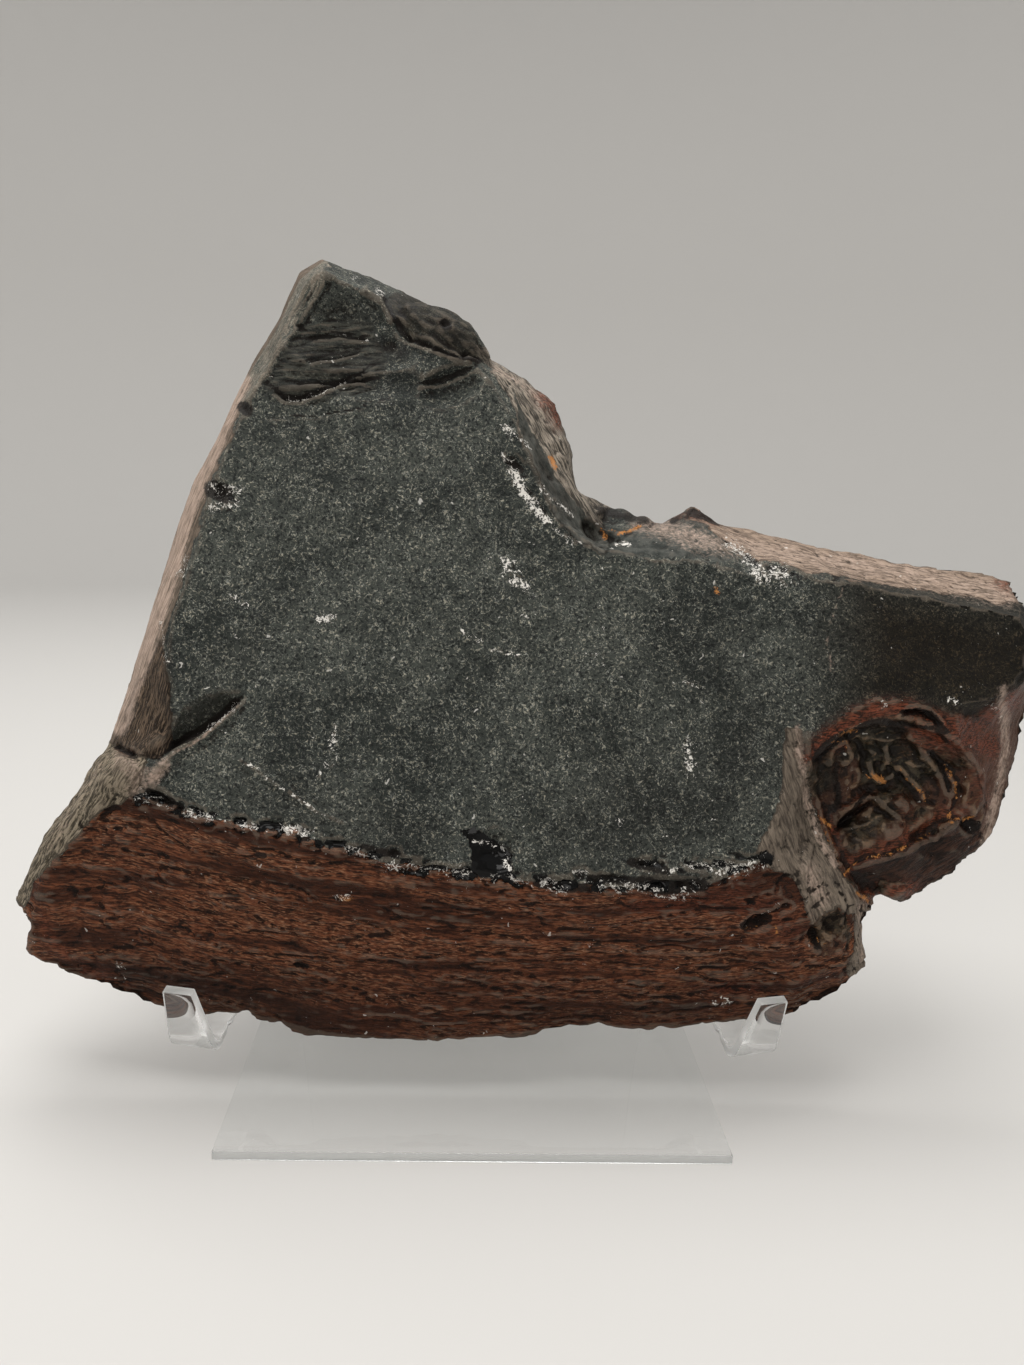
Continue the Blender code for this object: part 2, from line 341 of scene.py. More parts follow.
stoneMarks = {
    "face": [
        323, 283, 302, 322, 279, 352, 265, 381, 240, 409, 213, 482, 195, 545, 172, 615, 166, 670, 172, 700, 160, 740,
        148, 762, *faceEnd, 775, 830, 783, 790, 783, 727, 805, 712, 835, 706, 874, 697, 900, 696, 942, 711, 979, 713,
        1023, 680, 1045, 672, 1045, 612, 940, 597, 860, 586, 803, 574, 745, 574, 702, 558, 640, 558, 603, 555,
        580, 540, 560, 522, 539, 487, 525, 448, 507, 389, 485, 372, 455, 350, 400, 300, 352, 276,
    ],
    "band": [
        *faceEnd, 785, 866, 825, 880, 890, 890, 890, 1060, 0, 1060, 0, 915, 24, 903, 34, 884, 50, 865, 68, 845,
        90, 823, 112, 806,
    ],
    "top": [688, 519, 705, 526, 724, 540, 752, 558, 803, 570, 860, 581, 940, 593, 1045, 608, 1045, 480, 690, 480],
    "slope": [
        470, 345, 507, 389, 525, 448, 539, 487, 560, 522, 580, 540, 603, 555, 612, 545, 600, 520, 640, 480, 640, 340,
    ],
    "side": [
        330, 240, 322, 283, 302, 320, 279, 350, 265, 379, 240, 407, 213, 480, 195, 543, 170, 613, 160, 670, 163, 700,
        150, 735, 138, 756, 100, 740, 60, 600,
    ],
    "end": [100, 738, 138, 752, 150, 762, 135, 795, 112, 806, 90, 823, 68, 845, 50, 865, 34, 884, 24, 903, -20, 900],
    "hollow": [
        803, 765, 813, 745, 832, 724, 853, 710, 874, 701, 900, 699, 922, 704, 942, 714, 979, 717, 1030, 676,
        1060, 720, 1030, 900, 868, 915, 858, 893, 846, 879, 836, 862, 826, 840, 818, 814, 809, 791,
    ],
    "fin": [
        783, 727, 800, 727, 806, 761, 808, 790, 817, 813, 825, 839, 835, 861, 845, 878, 857, 892, 885, 900, 885, 960,
        868, 985, 846, 975, 852, 945, 852, 915, 838, 906, 822, 915, 812, 928, 803, 905, 800, 882, 772, 868, 756, 850,
        764, 835, 776, 815, 782, 790,
    ],
    "shelf": [300, 326, 340, 318, 372, 322, 388, 362, 376, 388, 320, 402, 282, 400, 260, 385, 284, 350],
    "arm": [
        850, 570, 940, 580, 1080, 600, 1080, 690, 1040, 720, 979, 740, 942, 740, 900, 730, 850, 730, 835, 700,
        842, 640,
    ],
    "glass": [
        459, 829, 474, 827, 495, 841, 511, 853, 512, 864, 516, 878, 504, 881, 480, 877, 466, 874, 470, 870, 472, 854,
        468, 841,
    ],
    "lump": [
        388, 297, 402, 290, 440, 298, 470, 325, 490, 358, 478, 363, 455, 358, 429, 349, 409, 341, 398, 328, 390, 310,
    ],
    "notch": [180, 712, 194, 699, 212, 693, 232, 692, 239, 701, 224, 715, 206, 730, 190, 738, 176, 746, 173, 730],
    "bevel": [
        330, 240, 322, 283, 302, 320, 279, 350, 264, 380, 244, 404, 232, 402, 243, 370, 262, 330, 278, 292, 290, 250,
    ],
    "wall": [975, 722, 1008, 695, 1030, 676, 1060, 720, 1015, 830, 990, 850, 978, 830, 986, 800, 975, 768, 950, 745],
    "fibrous": [160, 640, 167, 660, 170, 700, 174, 748, 160, 760, 140, 757, 114, 742, 124, 715, 140, 680],
    "chamfer": [
        512, 392, 524, 410, 538, 440, 552, 470, 570, 498, 590, 518, 604, 532, 625, 528, 650, 516, 688, 519, 705, 526,
        724, 540, 752, 558, 720, 560, 702, 557, 640, 556, 612, 555, 606, 556, 582, 541, 561, 523, 541, 490, 526, 448,
    ],
    "lobe": [
        845, 872, 880, 854, 909, 846, 933, 835, 952, 825, 972, 818, 990, 835, 982, 858, 958, 878, 915, 893, 900, 880,
        880, 880, 868, 900, 856, 888,
    ],
    "pit": [808, 935, 818, 918, 836, 906, 848, 915, 851, 935, 842, 950, 828, 958, 815, 956],
    # steps: the surface drops just above the line and rises again. Line, reach above it, depth in mm
    "steps": [
        ([300, 343, 318, 339, 337, 337, 373, 341], 15, 1.7), ([300, 364, 322, 361, 340, 358, 367, 350], 14, 1.6),
        ([266, 380, 301, 384, 340, 383, 362, 375, 380, 361], 11, 1.5),
        ([268, 386, 284, 400, 301, 401, 327, 391, 347, 384, 380, 381], 11, 2.6),
        ([245, 415, 276, 418, 314, 417, 352, 411, 390, 398], 4, 0.55),
        ([400, 334, 409, 341, 429, 348, 455, 357, 482, 361], 12, 2.0),
        ([411, 386, 442, 384, 463, 375, 482, 365], 14, 1.5),
        ([160, 759, 176, 747, 190, 739, 206, 731, 224, 716, 239, 702, 248, 692], 30, 4.6),
        ([675, 972, 695, 973, 711, 981, 729, 984, 752, 985], 9, 0.9),
        ([741, 930, 746, 921, 758, 915, 770, 911, 787, 901], -12, 2.0),
        ([835, 826, 854, 813, 872, 800, 890, 815, 901, 823], -12, 2.2),
        ([845, 875, 851, 866, 870, 857, 900, 849, 924, 836, 945, 823, 973, 815], 14, 2.2),
        ([814, 769, 820, 753, 837, 737, 857, 729, 875, 722, 901, 729], -20, 3.2),
        ([901, 711, 916, 710, 929, 712, 939, 722, 945, 729], -16, 3.0),
        ([866, 765, 880, 762, 893, 768, 908, 779, 922, 792, 924, 802], -12, 1.5),
        ([930, 757, 945, 768, 956, 782, 956, 792, 948, 816], 12, 1.5),
    ],
    # cracks and ridges: line, half width, height in mm (minus for a crack)
    "lines": [
        ([361, 288, 384, 304, 392, 325], 5, 0.8), ([327, 276, 299, 326, 276, 357, 247, 404], 3.5, 0.6),
        ([492, 370, 508, 386, 519, 416, 544, 456, 575, 502, 600, 530], 4, 0.6),
        ([533, 395, 545, 425, 560, 455], 4, -0.7), ([384, 297, 391, 308, 399, 328, 409, 340], 3.5, -1.5),
        ([152, 776, 166, 763, 182, 751, 206, 737, 226, 721, 240, 707], 5, 1.0),
        ([235, 756, 262, 775, 292, 794, 319, 813, 349, 825], 4, 0.45), ([116, 746, 133, 753], 3, -1.2),
        ([507, 387, 525, 446, 539, 485, 560, 520, 580, 538, 603, 553], 4, 0.35),
        ([512, 392, 555, 467, 578, 499, 608, 538], 4, 0.5),
        ([800, 727, 805, 735, 806, 761, 808, 790, 817, 813, 825, 839, 835, 861, 857, 892], 5, 1.2),
        ([809, 842, 804, 870, 802, 891], 4, 0.7), ([811, 840, 802, 878, 805, 904, 812, 927], 3, 0.6),
        ([850, 901, 851, 930, 850, 955, 846, 978], 2.5, -0.7), ([600, 530, 612, 540], 3, -0.8),
        ([612, 541, 641, 524], 3, -0.8), ([822, 764, 834, 748, 847, 742, 849, 756, 838, 766], 3.5, 1.9),
        ([866, 762, 872, 774, 880, 782, 893, 776, 899, 765], 3, 1.6), ([858, 742, 866, 756, 862, 770], 4, -1.6),
        ([884, 745, 888, 758, 884, 770], 3, 1.4), ([872, 800, 858, 812, 846, 822, 834, 830], 4, -2.0),
        ([870, 794, 852, 806, 838, 815], 4, 1.6), ([872, 802, 889, 813, 901, 824], 2.5, 1.1),
        ([898, 764, 909, 780, 922, 793, 925, 802], 2.5, 1.2), ([906, 730, 922, 750, 940, 775, 952, 800], 6, 1.8),
        ([930, 752, 944, 772, 950, 792], 3, -1.5), ([966, 750, 980, 775, 978, 800, 968, 815], 6, 1.6),
        ([914, 722, 940, 728, 962, 745], 5, 1.4), ([846, 870, 880, 853, 909, 845, 933, 834, 960, 820], 6, 1.9),
        ([470, 833, 482, 838, 494, 850, 500, 864], 1.6, 0.4), ([474, 829, 490, 839, 503, 852, 507, 866], 1.6, 0.4),
    ],
    # pits: middle, half size across and down, depth in mm, tilt in degrees
    "pits": [
        (340, 316, 22, 12, 1.2, 5), (388, 345, 9, 8, 0.9, 0), (445, 324, 5, 4, 1.5, 0), (299, 326, 4, 4, 1.0, 0),
        (245, 408, 5, 6, 1.2, 0), (218, 491, 9, 9, 1.8, 0), (158, 797, 13, 6, 2.4, 22), (143, 803, 9, 4, 1.5, 15),
        (122, 772, 24, 20, -2.2, -20), (150, 770, 14, 12, -1.0, 0), (95, 800, 14, 26, -1.2, 35),
        (134, 757, 10, 5, 1.4, 30), (180, 807, 5, 5, 1.2, 30), (296, 829, 6, 4, 1.0, 0), (394, 854, 6, 6, 1.6, 0),
        (581, 876, 8, 7, 1.6, 0), (558, 885, 20, 6, 1.2, 10), (610, 880, 18, 5, 1.2, 0), (648, 863, 15, 4, 0.9, 0),
        (672, 886, 27, 7, 1.8, 0), (700, 865, 10, 4, 0.9, 0), (515, 463, 10, 6, 1.2, 55), (756, 922, 13, 7, 2.4, -20),
        (786, 906, 5, 4, 1.0, 0), (748, 901, 5, 3, 0.8, 0), (818, 937, 9, 10, 2.6, 0), (835, 925, 12, 12, 1.4, 0),
        (732, 989, 19, 6, 1.2, 5), (970, 825, 8, 8, 2.2, 0), (783, 570, 5, 3, 0.8, 0), (835, 578, 5, 3, 0.8, 0),
        (893, 888, 18, 9, -1.6, -10), (880, 800, 12, 9, -1.4, 0), (905, 805, 12, 10, -1.6, 20),
        (887, 829, 12, 9, -1.2, 0), (620, 517, 14, 6, -1.6, 5), (603, 513, 8, 6, -1.2, 0), (643, 521, 9, 5, -1.2, 0),
        (721, 1001, 9, 4, -0.6, 0), (345, 899, 6, 4, -0.6, 0), (299, 966, 8, 2, 1.6, 5), (745, 640, 22, 16, 0.35, 0),
        (330, 560, 60, 40, 0.35, 0), (610, 700, 70, 50, -0.4, 0), (450, 620, 50, 60, -0.3, 20),
        (930, 650, 60, 22, 0.5, 5),
    ],
    # pale worn ground, then red brown ground: line, half width, strength
    "pale": [
        ([243, 382, 232, 404, 213, 450, 197, 488, 183, 528, 172, 568, 150, 638, 137, 678, 120, 727], 8, 1.1),
        ([122, 760, 140, 775, 135, 790], 13, 0.55), ([100, 765, 75, 800, 52, 845], 10, 0.3),
        ([495, 370, 520, 383, 538, 398], 6, 0.45), ([797, 728, 801, 760, 806, 795, 818, 835, 835, 865], 5, 0.6),
        ([808, 870, 822, 900], 12, 0.5), ([1003, 690, 1006, 750, 995, 800, 985, 845], 7, 0.6),
        ([860, 905, 862, 960], 6, 0.45), ([239, 703, 224, 717, 206, 734, 190, 744], 1.7, 0.85),
        ([190, 744, 176, 752, 160, 764], 2.6, 0.5), ([150, 782, 165, 764], 7, 0.75),
        ([640, 520, 700, 540, 800, 556, 900, 572, 1010, 596], 16, 0.5), ([844, 589, 830, 624], 1.3, 0.5),
        ([826, 627, 831, 673], 1.3, 0.5),
    ],
    "brown": [
        ([541, 396, 552, 408, 559, 422], 8, 0.9), ([675, 516, 692, 513, 715, 521], 5, 0.9),
        ([1000, 582, 1012, 590], 8, 0.9),
        ([808, 755, 830, 735, 855, 718, 875, 710, 905, 708, 935, 722, 975, 728, 1015, 700], 9, 1.0),
        ([925, 735, 965, 740, 990, 745], 16, 1.0), ([850, 862, 900, 842, 940, 818, 960, 806], 9, 0.9),
        ([870, 895, 910, 890], 9, 1.0), ([826, 815, 838, 845, 850, 872], 6, 0.9), ([845, 805, 870, 792], 6, 0.6),
        ([975, 765, 985, 800], 12, 0.45), ([835, 750, 846, 745], 6, 0.7), ([900, 800, 915, 825, 890, 845], 8, 0.45),
        ([711, 988, 752, 989], 7, 1.0), ([735, 900, 790, 930], 20, 0.5), ([640, 905, 740, 900], 14, 0.5),
        ([43, 915, 50, 940, 66, 955], 6, 0.6), ([85, 968, 125, 990], 8, 0.5), ([118, 748, 131, 753], 3, 0.8),
    ],
    # white crystals: line, half width, strength
    "crystal": [
        ([503, 426, 513, 434], 4, 0.9), ([521, 439, 531, 451], 3.5, 0.7), ([502, 455, 512, 462], 3, 0.9),
        ([511, 472, 522, 489, 533, 503, 546, 521], 4.5, 1.1), ([551, 521, 558, 531], 3, 0.9),
        ([235, 756, 255, 770, 275, 783, 292, 794, 319, 813], 1.5, 0.85), ([319, 813, 349, 826], 1.5, 0.5),
        ([336, 725, 334, 745, 322, 770, 316, 780], 2.2, 0.75), ([206, 690, 222, 686], 2, 0.6),
        ([160, 620, 166, 660], 2, 0.6), ([566, 537, 580, 542], 4, 0.8), ([507, 562, 512, 575, 528, 590], 7, 0.8),
        ([617, 542, 628, 545], 3, 1.0), ([728, 545, 745, 555, 760, 578], 7, 0.7),
        ([735, 548, 760, 572, 790, 585], 6, 0.6), ([755, 568, 762, 578, 785, 574], 8, 0.8),
        ([212, 486, 240, 490, 236, 505, 212, 508], 5, 0.75), ([318, 618, 334, 620], 4, 1.0),
        ([228, 598, 240, 603, 250, 606], 3, 0.7), ([335, 740, 330, 760, 320, 778], 4, 0.6),
        ([688, 745, 690, 775], 6, 0.75), ([735, 760, 737, 775], 3, 0.5),
        ([490, 650, 500, 650, 510, 654, 520, 655], 2.5, 0.8), ([462, 630, 472, 634, 480, 640], 3, 0.7),
        ([520, 613, 535, 615], 2.5, 0.7), ([594, 655, 600, 656], 2, 0.8), ([675, 680, 700, 686], 2.5, 0.7),
        ([562, 650, 600, 657], 2, 0.5), ([285, 640, 300, 645], 2, 0.4), ([193, 813, 196, 817], 4, 0.9),
        ([246, 826, 258, 828], 4, 0.9), ([286, 828, 308, 833], 5, 0.9), ([394, 864, 420, 868, 470, 876], 3, 0.7),
        ([472, 840, 495, 845], 1.6, 1.0), ([503, 858, 508, 868, 514, 880], 2, 1.0),
        ([516, 880, 545, 888, 565, 890], 2.5, 0.8), ([575, 871, 588, 873, 587, 881], 2, 0.9),
        ([655, 896, 683, 899], 2.5, 0.8), ([666, 870, 700, 862, 730, 876, 767, 862], 3.5, 0.7),
        ([611, 888, 620, 890], 2.5, 0.8), ([345, 848, 359, 850, 380, 860], 3, 0.6), ([662, 836, 680, 837], 1.5, 0.8),
        ([355, 276, 357, 280], 3, 0.7), ([335, 386, 345, 384], 2, 0.7), ([290, 400, 330, 390], 2, 0.6),
        ([883, 704, 886, 705], 3, 0.8), ([943, 699, 956, 703], 3, 0.8), ([992, 706, 999, 709], 3, 0.7),
        ([186, 560, 180, 575], 5, 0.7), ([160, 640, 172, 665], 4, 0.3), ([377, 289, 383, 296], 3, 0.7),
        ([292, 288, 297, 294], 3, 0.8), ([600, 560, 604, 640, 606, 720], 1.6, 0.35),
        ([240, 700, 225, 715, 206, 733], 2, 0.8), ([232, 570, 280, 560], 3, 0.25), ([714, 819, 717, 821], 3, 0.8),
        ([619, 820, 621, 821], 3, 0.7), ([645, 824, 646, 825], 3, 0.7),
        ([539, 488, 551, 496, 562, 505, 573, 518], 2.5, 0.8), ([711, 866, 735, 868, 756, 862], 4, 0.8),
        ([656, 894, 670, 899, 682, 894], 2, 0.9), ([711, 1000, 722, 998, 731, 1003, 722, 1007, 712, 1004], 1.6, 0.9),
        ([337, 897, 349, 896], 3, 0.8), ([310, 401, 290, 402, 330, 391], 1.5, 0.8),
        ([309, 340, 337, 338, 370, 342], 1.2, 0.45), ([307, 363, 337, 359, 365, 352], 1.2, 0.45),
        ([500, 840, 513, 870], 1.2, 0.8), ([117, 965, 121, 968], 2.5, 0.8), ([116, 978, 124, 979], 2, 0.6),
        ([742, 928, 765, 913, 787, 902], 1.2, 0.5), ([136, 803, 152, 803, 166, 808, 176, 812], 2, 0.6),
        ([223, 730, 235, 735], 2, 0.5), ([430, 386, 463, 377], 1.2, 0.5),
    ],
    # the worn line between the face and the band, with black chips and white bits
    "seam": [
        ([135, 797, 165, 802, 185, 812, 211, 819, 245, 824, 262, 828, 297, 832, 314, 842, 359, 850, 390, 865, 438,
          871, 464, 874, 516, 880, 537, 882, 590, 884, 643, 888, 702, 888, 740, 868, 768, 858], 8, 1.15),
        ([640, 860, 700, 868, 752, 855], 8, 0.7), ([722, 546, 760, 566, 800, 575], 6, 0.5),
        ([505, 455, 520, 475, 545, 515], 5, 0.4), ([214, 488, 232, 498], 8, 0.5),
    ],
    # rust; painted shade; dark strokes, which are real cracks and black slits and also painted shadow lines under the
    # ledges and the lump
    "rust": [
        ([550, 457, 555, 467], 4, 1.0), ([600, 530, 612, 540], 3, 0.8), ([612, 537, 641, 526], 3, 0.9),
        ([604, 536, 612, 533], 5, 1.0), ([716, 588, 717, 592], 4, 0.9), ([870, 775, 882, 780], 5, 1.0),
        ([898, 768, 908, 779, 922, 792, 924, 802], 2, 0.9), ([945, 768, 956, 782, 956, 792], 2, 0.9),
        ([955, 805, 948, 816, 948, 821], 2, 0.9), ([858, 894, 867, 900], 4, 0.9),
        ([973, 816, 945, 824, 924, 837, 900, 850, 870, 858, 851, 867, 845, 875], 2.2, 0.9),
        ([820, 818, 830, 826], 4, 0.9), ([840, 735, 848, 730, 857, 730], 4, 0.7),
        ([820, 820, 828, 845, 838, 862], 2, 0.7), ([744, 928, 765, 924], 3, 0.6),
        ([816, 915, 828, 908, 845, 908], 2, 0.45), ([823, 815, 833, 845], 3, 0.6),
        ([195, 873, 230, 880, 275, 891, 330, 898, 377, 909], 5, 0.33), ([775, 925, 778, 935], 3, 0.7),
        ([815, 928, 819, 945, 828, 943], 1.6, 0.8), ([832, 742, 846, 741, 848, 752], 2, 0.75),
        ([941, 761, 952, 780, 957, 791, 956, 804, 949, 820], 1.5, 0.85), ([44, 862, 56, 880, 52, 900], 6, 0.25),
        ([340, 897, 350, 899], 5, 0.8), ([545, 400, 556, 420], 7, 0.35), ([680, 750, 686, 775], 5, 0.4),
        ([880, 880, 905, 885], 12, 0.25),
    ],
    "shade": [
        ([578, 440, 590, 480, 600, 520], 10, 0.45), ([540, 470, 570, 510], 8, 0.25), ([560, 395, 566, 430], 5, 0.4),
        ([820, 640, 850, 600], 30, 0.25), ([700, 640, 760, 720], 60, 0.15), ([340, 308, 360, 318], 14, 0.4),
        ([380, 346, 400, 352], 9, 0.6), ([300, 312, 360, 316], 9, 0.35), ([290, 350, 370, 365], 26, 0.32),
        ([270, 388, 300, 392], 8, 0.5), ([690, 988, 752, 990], 9, 0.3), ([600, 820, 720, 800, 770, 740], 60, 0.26),
        ([250, 790, 420, 840], 30, 0.2), ([150, 780, 250, 640], 20, 0.12), ([400, 300, 470, 345], 10, 0.35),
        ([880, 640, 1000, 660], 45, 0.3), ([120, 975, 300, 1010], 26, 0.45), ([540, 1015, 700, 1010], 12, 0.35),
        ([880, 870, 960, 850], 12, 0.3), ([640, 880, 700, 880], 10, 0.5), ([168, 640, 170, 740], 3, 0.5),
        ([820, 760, 850, 850], 12, 0.4),
    ],
    "dark": [
        ([300, 340, 318, 335, 337, 333, 370, 337], 1.7, 0.8), ([300, 361, 322, 357, 340, 354, 367, 346], 1.5, 0.8),
        ([266, 377, 301, 381, 340, 380, 362, 372, 380, 358], 1.3, 0.8),
        ([268, 383, 284, 396, 301, 397, 327, 387, 347, 381, 378, 378], 1.8, 1.1), ([284, 396, 300, 398], 3, 1.1),
        ([245, 414, 276, 417, 314, 416, 352, 410, 390, 397], 1.0, 0.95),
        ([384, 297, 391, 308, 399, 328, 409, 339, 429, 346, 455, 355, 480, 360], 1.6, 1.1),
        ([411, 382, 442, 380, 462, 372, 480, 362], 1.3, 0.7),
        ([172, 746, 190, 736, 206, 727, 224, 712, 237, 701], 3.4, 1.6), ([116, 747, 131, 754], 2.5, 0.9),
        ([870, 790, 840, 825], 3, 0.9), ([878, 725, 900, 724, 935, 728, 948, 742], 3, 0.8),
        ([815, 760, 830, 745], 4, 0.9), ([745, 925, 768, 918], 5, 1.3), ([814, 933, 818, 948], 4, 1.0),
        ([748, 901, 752, 902], 4, 0.9), ([820, 753, 837, 738, 857, 730, 868, 724, 887, 722, 901, 731], 4.5, 1.3),
        ([903, 713, 919, 711, 933, 718, 946, 731], 3.5, 1.3), ([297, 965, 307, 966], 2.5, 1.3),
        ([258, 855, 264, 856], 3, 1.0), ([300, 837, 308, 838], 4, 1.2), ([364, 846, 380, 850, 397, 856], 4, 0.9),
        ([270, 828, 275, 829], 3, 1.0), ([691, 866, 711, 867], 3, 1.0), ([631, 862, 666, 870], 5, 1.1),
        ([965, 824, 976, 826], 5, 1.2), ([600, 510, 645, 520], 7, 0.7), ([673, 520, 691, 512, 719, 522], 5, 0.9),
        ([970, 822, 972, 830], 6, 0.9), ([641, 884, 665, 888, 702, 885], 7, 1.3), ([537, 884, 586, 888], 5, 1.0),
        ([590, 879, 632, 880], 5, 1.0), ([632, 862, 664, 864], 3, 0.7), ([390, 853, 398, 855], 4, 0.9),
        ([149, 794, 159, 797, 170, 802], 4.5, 1.7), ([137, 803, 149, 804], 2, 0.8), ([178, 805, 183, 810], 3, 0.9),
        ([243, 407, 247, 410], 5, 1.8), ([213, 489, 224, 493], 8, 1.7), ([444, 323, 447, 326], 4, 1.7),
        ([299, 325, 299, 327], 3, 0.8), ([507, 459, 522, 471], 4, 0.9), ([782, 569, 786, 571], 4, 0.7),
        ([834, 577, 838, 579], 3, 0.7), ([835, 775, 838, 800, 832, 812], 6, 0.7), ([860, 745, 866, 765], 5, 0.8),
        ([930, 752, 944, 772, 950, 792], 3, 0.8),
    ],
}


def paintLines(seen, marks, wider=1.0):
    total = np.zeros(len(seen))
    for line, width, strength in marks:
        width = width * wider
        near, distance, _ = lineDistance(seen, line, width * 3 + 2)
        total[near] = np.maximum(total[near], strength * np.exp(-(distance / width) ** 2))
    return total


def carveMarks(seen):    # how far the marked features stand out, in mm
    height = np.zeros(len(seen))
    for line, reach, depth in stoneMarks["steps"]:
        near, distance, along = lineDistance(seen, line, abs(reach) + 3)
        above = distance * np.sign(reach)
        taper = np.clip(np.minimum(along, 1 - along) / 0.35, 0.1, 1) ** 0.6
        drop = ease((above + 0.8) / 2.4) * np.clip(1 - above / (abs(reach) * taper), 0, 1) ** 1.4
        lip = np.exp(-((above + 2.5) / 2.2) ** 2) * 0.25
        height[near] += (lip - drop) * depth * ease(along / 0.2) * ease((1 - along) / 0.2)
    for line, width, rise in stoneMarks["lines"]:
        near, distance, along = lineDistance(seen, line, width * 3)
        ends = ease(along / 0.1 + 0.2) * ease((1 - along) / 0.1 + 0.2)
        height[near] += rise * np.exp(-(distance / width) ** 2) * ends
    for x, y, wide, tall, depth, tilt in stoneMarks["pits"]:
        off = seen - np.array((x, y))
        c, s = math.cos(math.radians(tilt)), math.sin(math.radians(tilt))
        across, down = (off[:, 0] * c + off[:, 1] * s) / wide, (off[:, 1] * c - off[:, 0] * s) / tall
        near = np.flatnonzero((np.abs(across) < 1.4) & (np.abs(down) < 1.4))
        height[near] -= depth * ease(1.35 - np.hypot(across[near], down[near]))
    return height


# how soft the edge of each region is, in points of the front view
regionEdges = {
    "face": 3, "band": 4, "top": 4, "slope": 4, "side": 4, "end": 5, "hollow": 3, "fin": 5, "glass": 1.5, "shelf": 10,
    "arm": 120, "lump": 5, "notch": 4, "fibrous": 4, "chamfer": 4, "lobe": 5, "pit": 5, "bevel": 5, "wall": 8,
}
strokeKeys = ("crystal", "rust", "dark", "shade", "pale", "brown", "seam")
storedMasks = [*regionEdges, *strokeKeys, "chip"]

# where the regions end, and what lies behind them, in mm: a limit and how soft it is
regionLimits = {
    "front": (44, 8), "bandTop": (58, 9), "bandWaves": (38, 24), "bevel": (13, 3), "strokes": (8, 5),
    "knob": (21, 4), "knobAt": (-15, 198),
    "tilt": (0.35, 0.3), "wrap": (0.42, 0.16),    # without a size
    "shake": 4, "shakeSize": 6, "glassShake": 0.3,    # the first in points of the front view, the second in mm
    "crystalShake": 0.8, "strokeShake": 0.35, "crystalWider": 1.35,
}


def past(value, key):    # 0 up to the limit, then rising to 1
    limit, soft = regionLimits[key]
    return ease((value - limit) / soft)


def before(value, key):    # falling from 1 to 0 at the limit
    limit, soft = regionLimits[key]
    return ease((limit - value) / soft)


def stoneMasks(points, normals):
    limits = regionLimits
    seen = seenAt(points)
    shake = np.stack([layeredWaves(points, limits["shakeSize"], seed, 4) for seed in (101, 211)], 1) * limits["shake"]
    facing = ease(0.6 - (normals @ aheadWay) / 0.05)    # 1 where the surface looks to the front view
    height = points[:, 2]
    behind = points[:, 1] - faceDepthAt(height)
    nearFront = before(behind, "front") * facing
    masks = {"front": nearFront}
    for key, soft in regionEdges.items():
        part = limits["glassShake"] if key == "glass" else 1
        inside = insideDistance(seen + shake * part, stoneMarks[key])
        masks[key] = ease(inside / soft + 0.5) * nearFront
    rear = 1 - nearFront
    size, reach = limits["bandWaves"]
    low = before(height - layeredWaves(points, size, 31, 3) * reach, "bandTop")
    up = past(normals[:, 2] + waves(points, 9, 35) * 0.12, "tilt")
    left = past(-normals[:, 0], "tilt")
    masks["band"] = np.maximum(masks["band"], rear * low)
    masks["top"] = np.maximum(masks["top"], rear * up * (1 - low))
    masks["side"] = np.maximum(masks["side"], rear * left * (1 - low) * (1 - up))
    masks["back"] = rear * (1 - low) * (1 - up) * (1 - left)
    lean = math.radians(stoneShape["faceLean"])
    turned = normals @ np.array([0, -math.cos(lean), math.sin(lean)])    # 1 where the surface lies like the main face
    wrapped = masks["face"] * left * before(turned, "wrap")
    hidden = masks["bevel"] * past(behind + layeredWaves(points, 20, 33, 3) * 8, "bevel")
    masks["bevel"] -= hidden
    masks["side"] = np.maximum(masks["side"], np.maximum(wrapped, hidden))
    x, z = limits["knobAt"]
    knob = rear * before(np.hypot(points[:, 0] - x, height - z), "knob")
    masks["lump"] = np.maximum(masks["lump"], knob)
    masks["top"] *= 1 - knob
    deep = 1 - left * past(behind, "strokes")
    for key in strokeKeys:
        crystal = key == "crystal"
        moved = seen + shake * limits["crystalShake" if crystal else "strokeShake"]
        painted = paintLines(moved, stoneMarks[key], limits["crystalWider"] if crystal else 1.0)
        masks[key] = painted * nearFront * (1 if key == "pale" else deep)
    return seen, masks


def edgeChips(seen, seam):    # small broken out places along the worn line
    flat = np.stack([seen[:, 0], seen[:, 0] * 0, seen[:, 1]], 1)
    return seam * ease((layeredWaves(flat, (19, 19, 10), 97, 2) - 0.02) / 0.16)


def beddingPlace(points):    # the same place with the band's layers laid level
    bend = np.clip(30 - points[:, 0], -75, 118)
    return points + np.stack([bend * 0, bend * 0, -0.00095 * bend * bend], 1)


def grainPlace(points, angle):    # x turned along a grain at this angle
    c, s = math.cos(math.radians(angle)), math.sin(math.radians(angle))
    return np.stack([points[:, 0] * c + points[:, 2] * s, points[:, 1], points[:, 2] * c - points[:, 0] * s], 1)


# the fibres of each region: angle in degrees, then their size along, across and through in mm
fibreRuns = {
    "slope": (119, (5, 1.4, 0.7)), "side": (68.5, (7, 1.1, 0.7)), "end": (58, (4, 1.1, 0.6)),
    "fibrous": (74, (3.6, 1.0, 0.4)), "top": (-10, (5, 1.0, 1.0)), "hollow": (28, (4, 2, 0.9)),
    "lobe": (28, (4, 2, 0.9)), "wall": (68.5, (7, 1.6, 0.8)), "fin": (114, (6, 1.6, 0.6)),
    "bevel": (62, (4, 1.2, 0.7)), "shelf": (4, (6, 3, 0.7)), "lump": (-32, (4, 2, 0.9)),
}


def bent(points, size, reach, seed):    # the same place, gently wavy
    return points + np.stack([waves(points, size, seed + axis) * reach for axis in range(3)], 1)


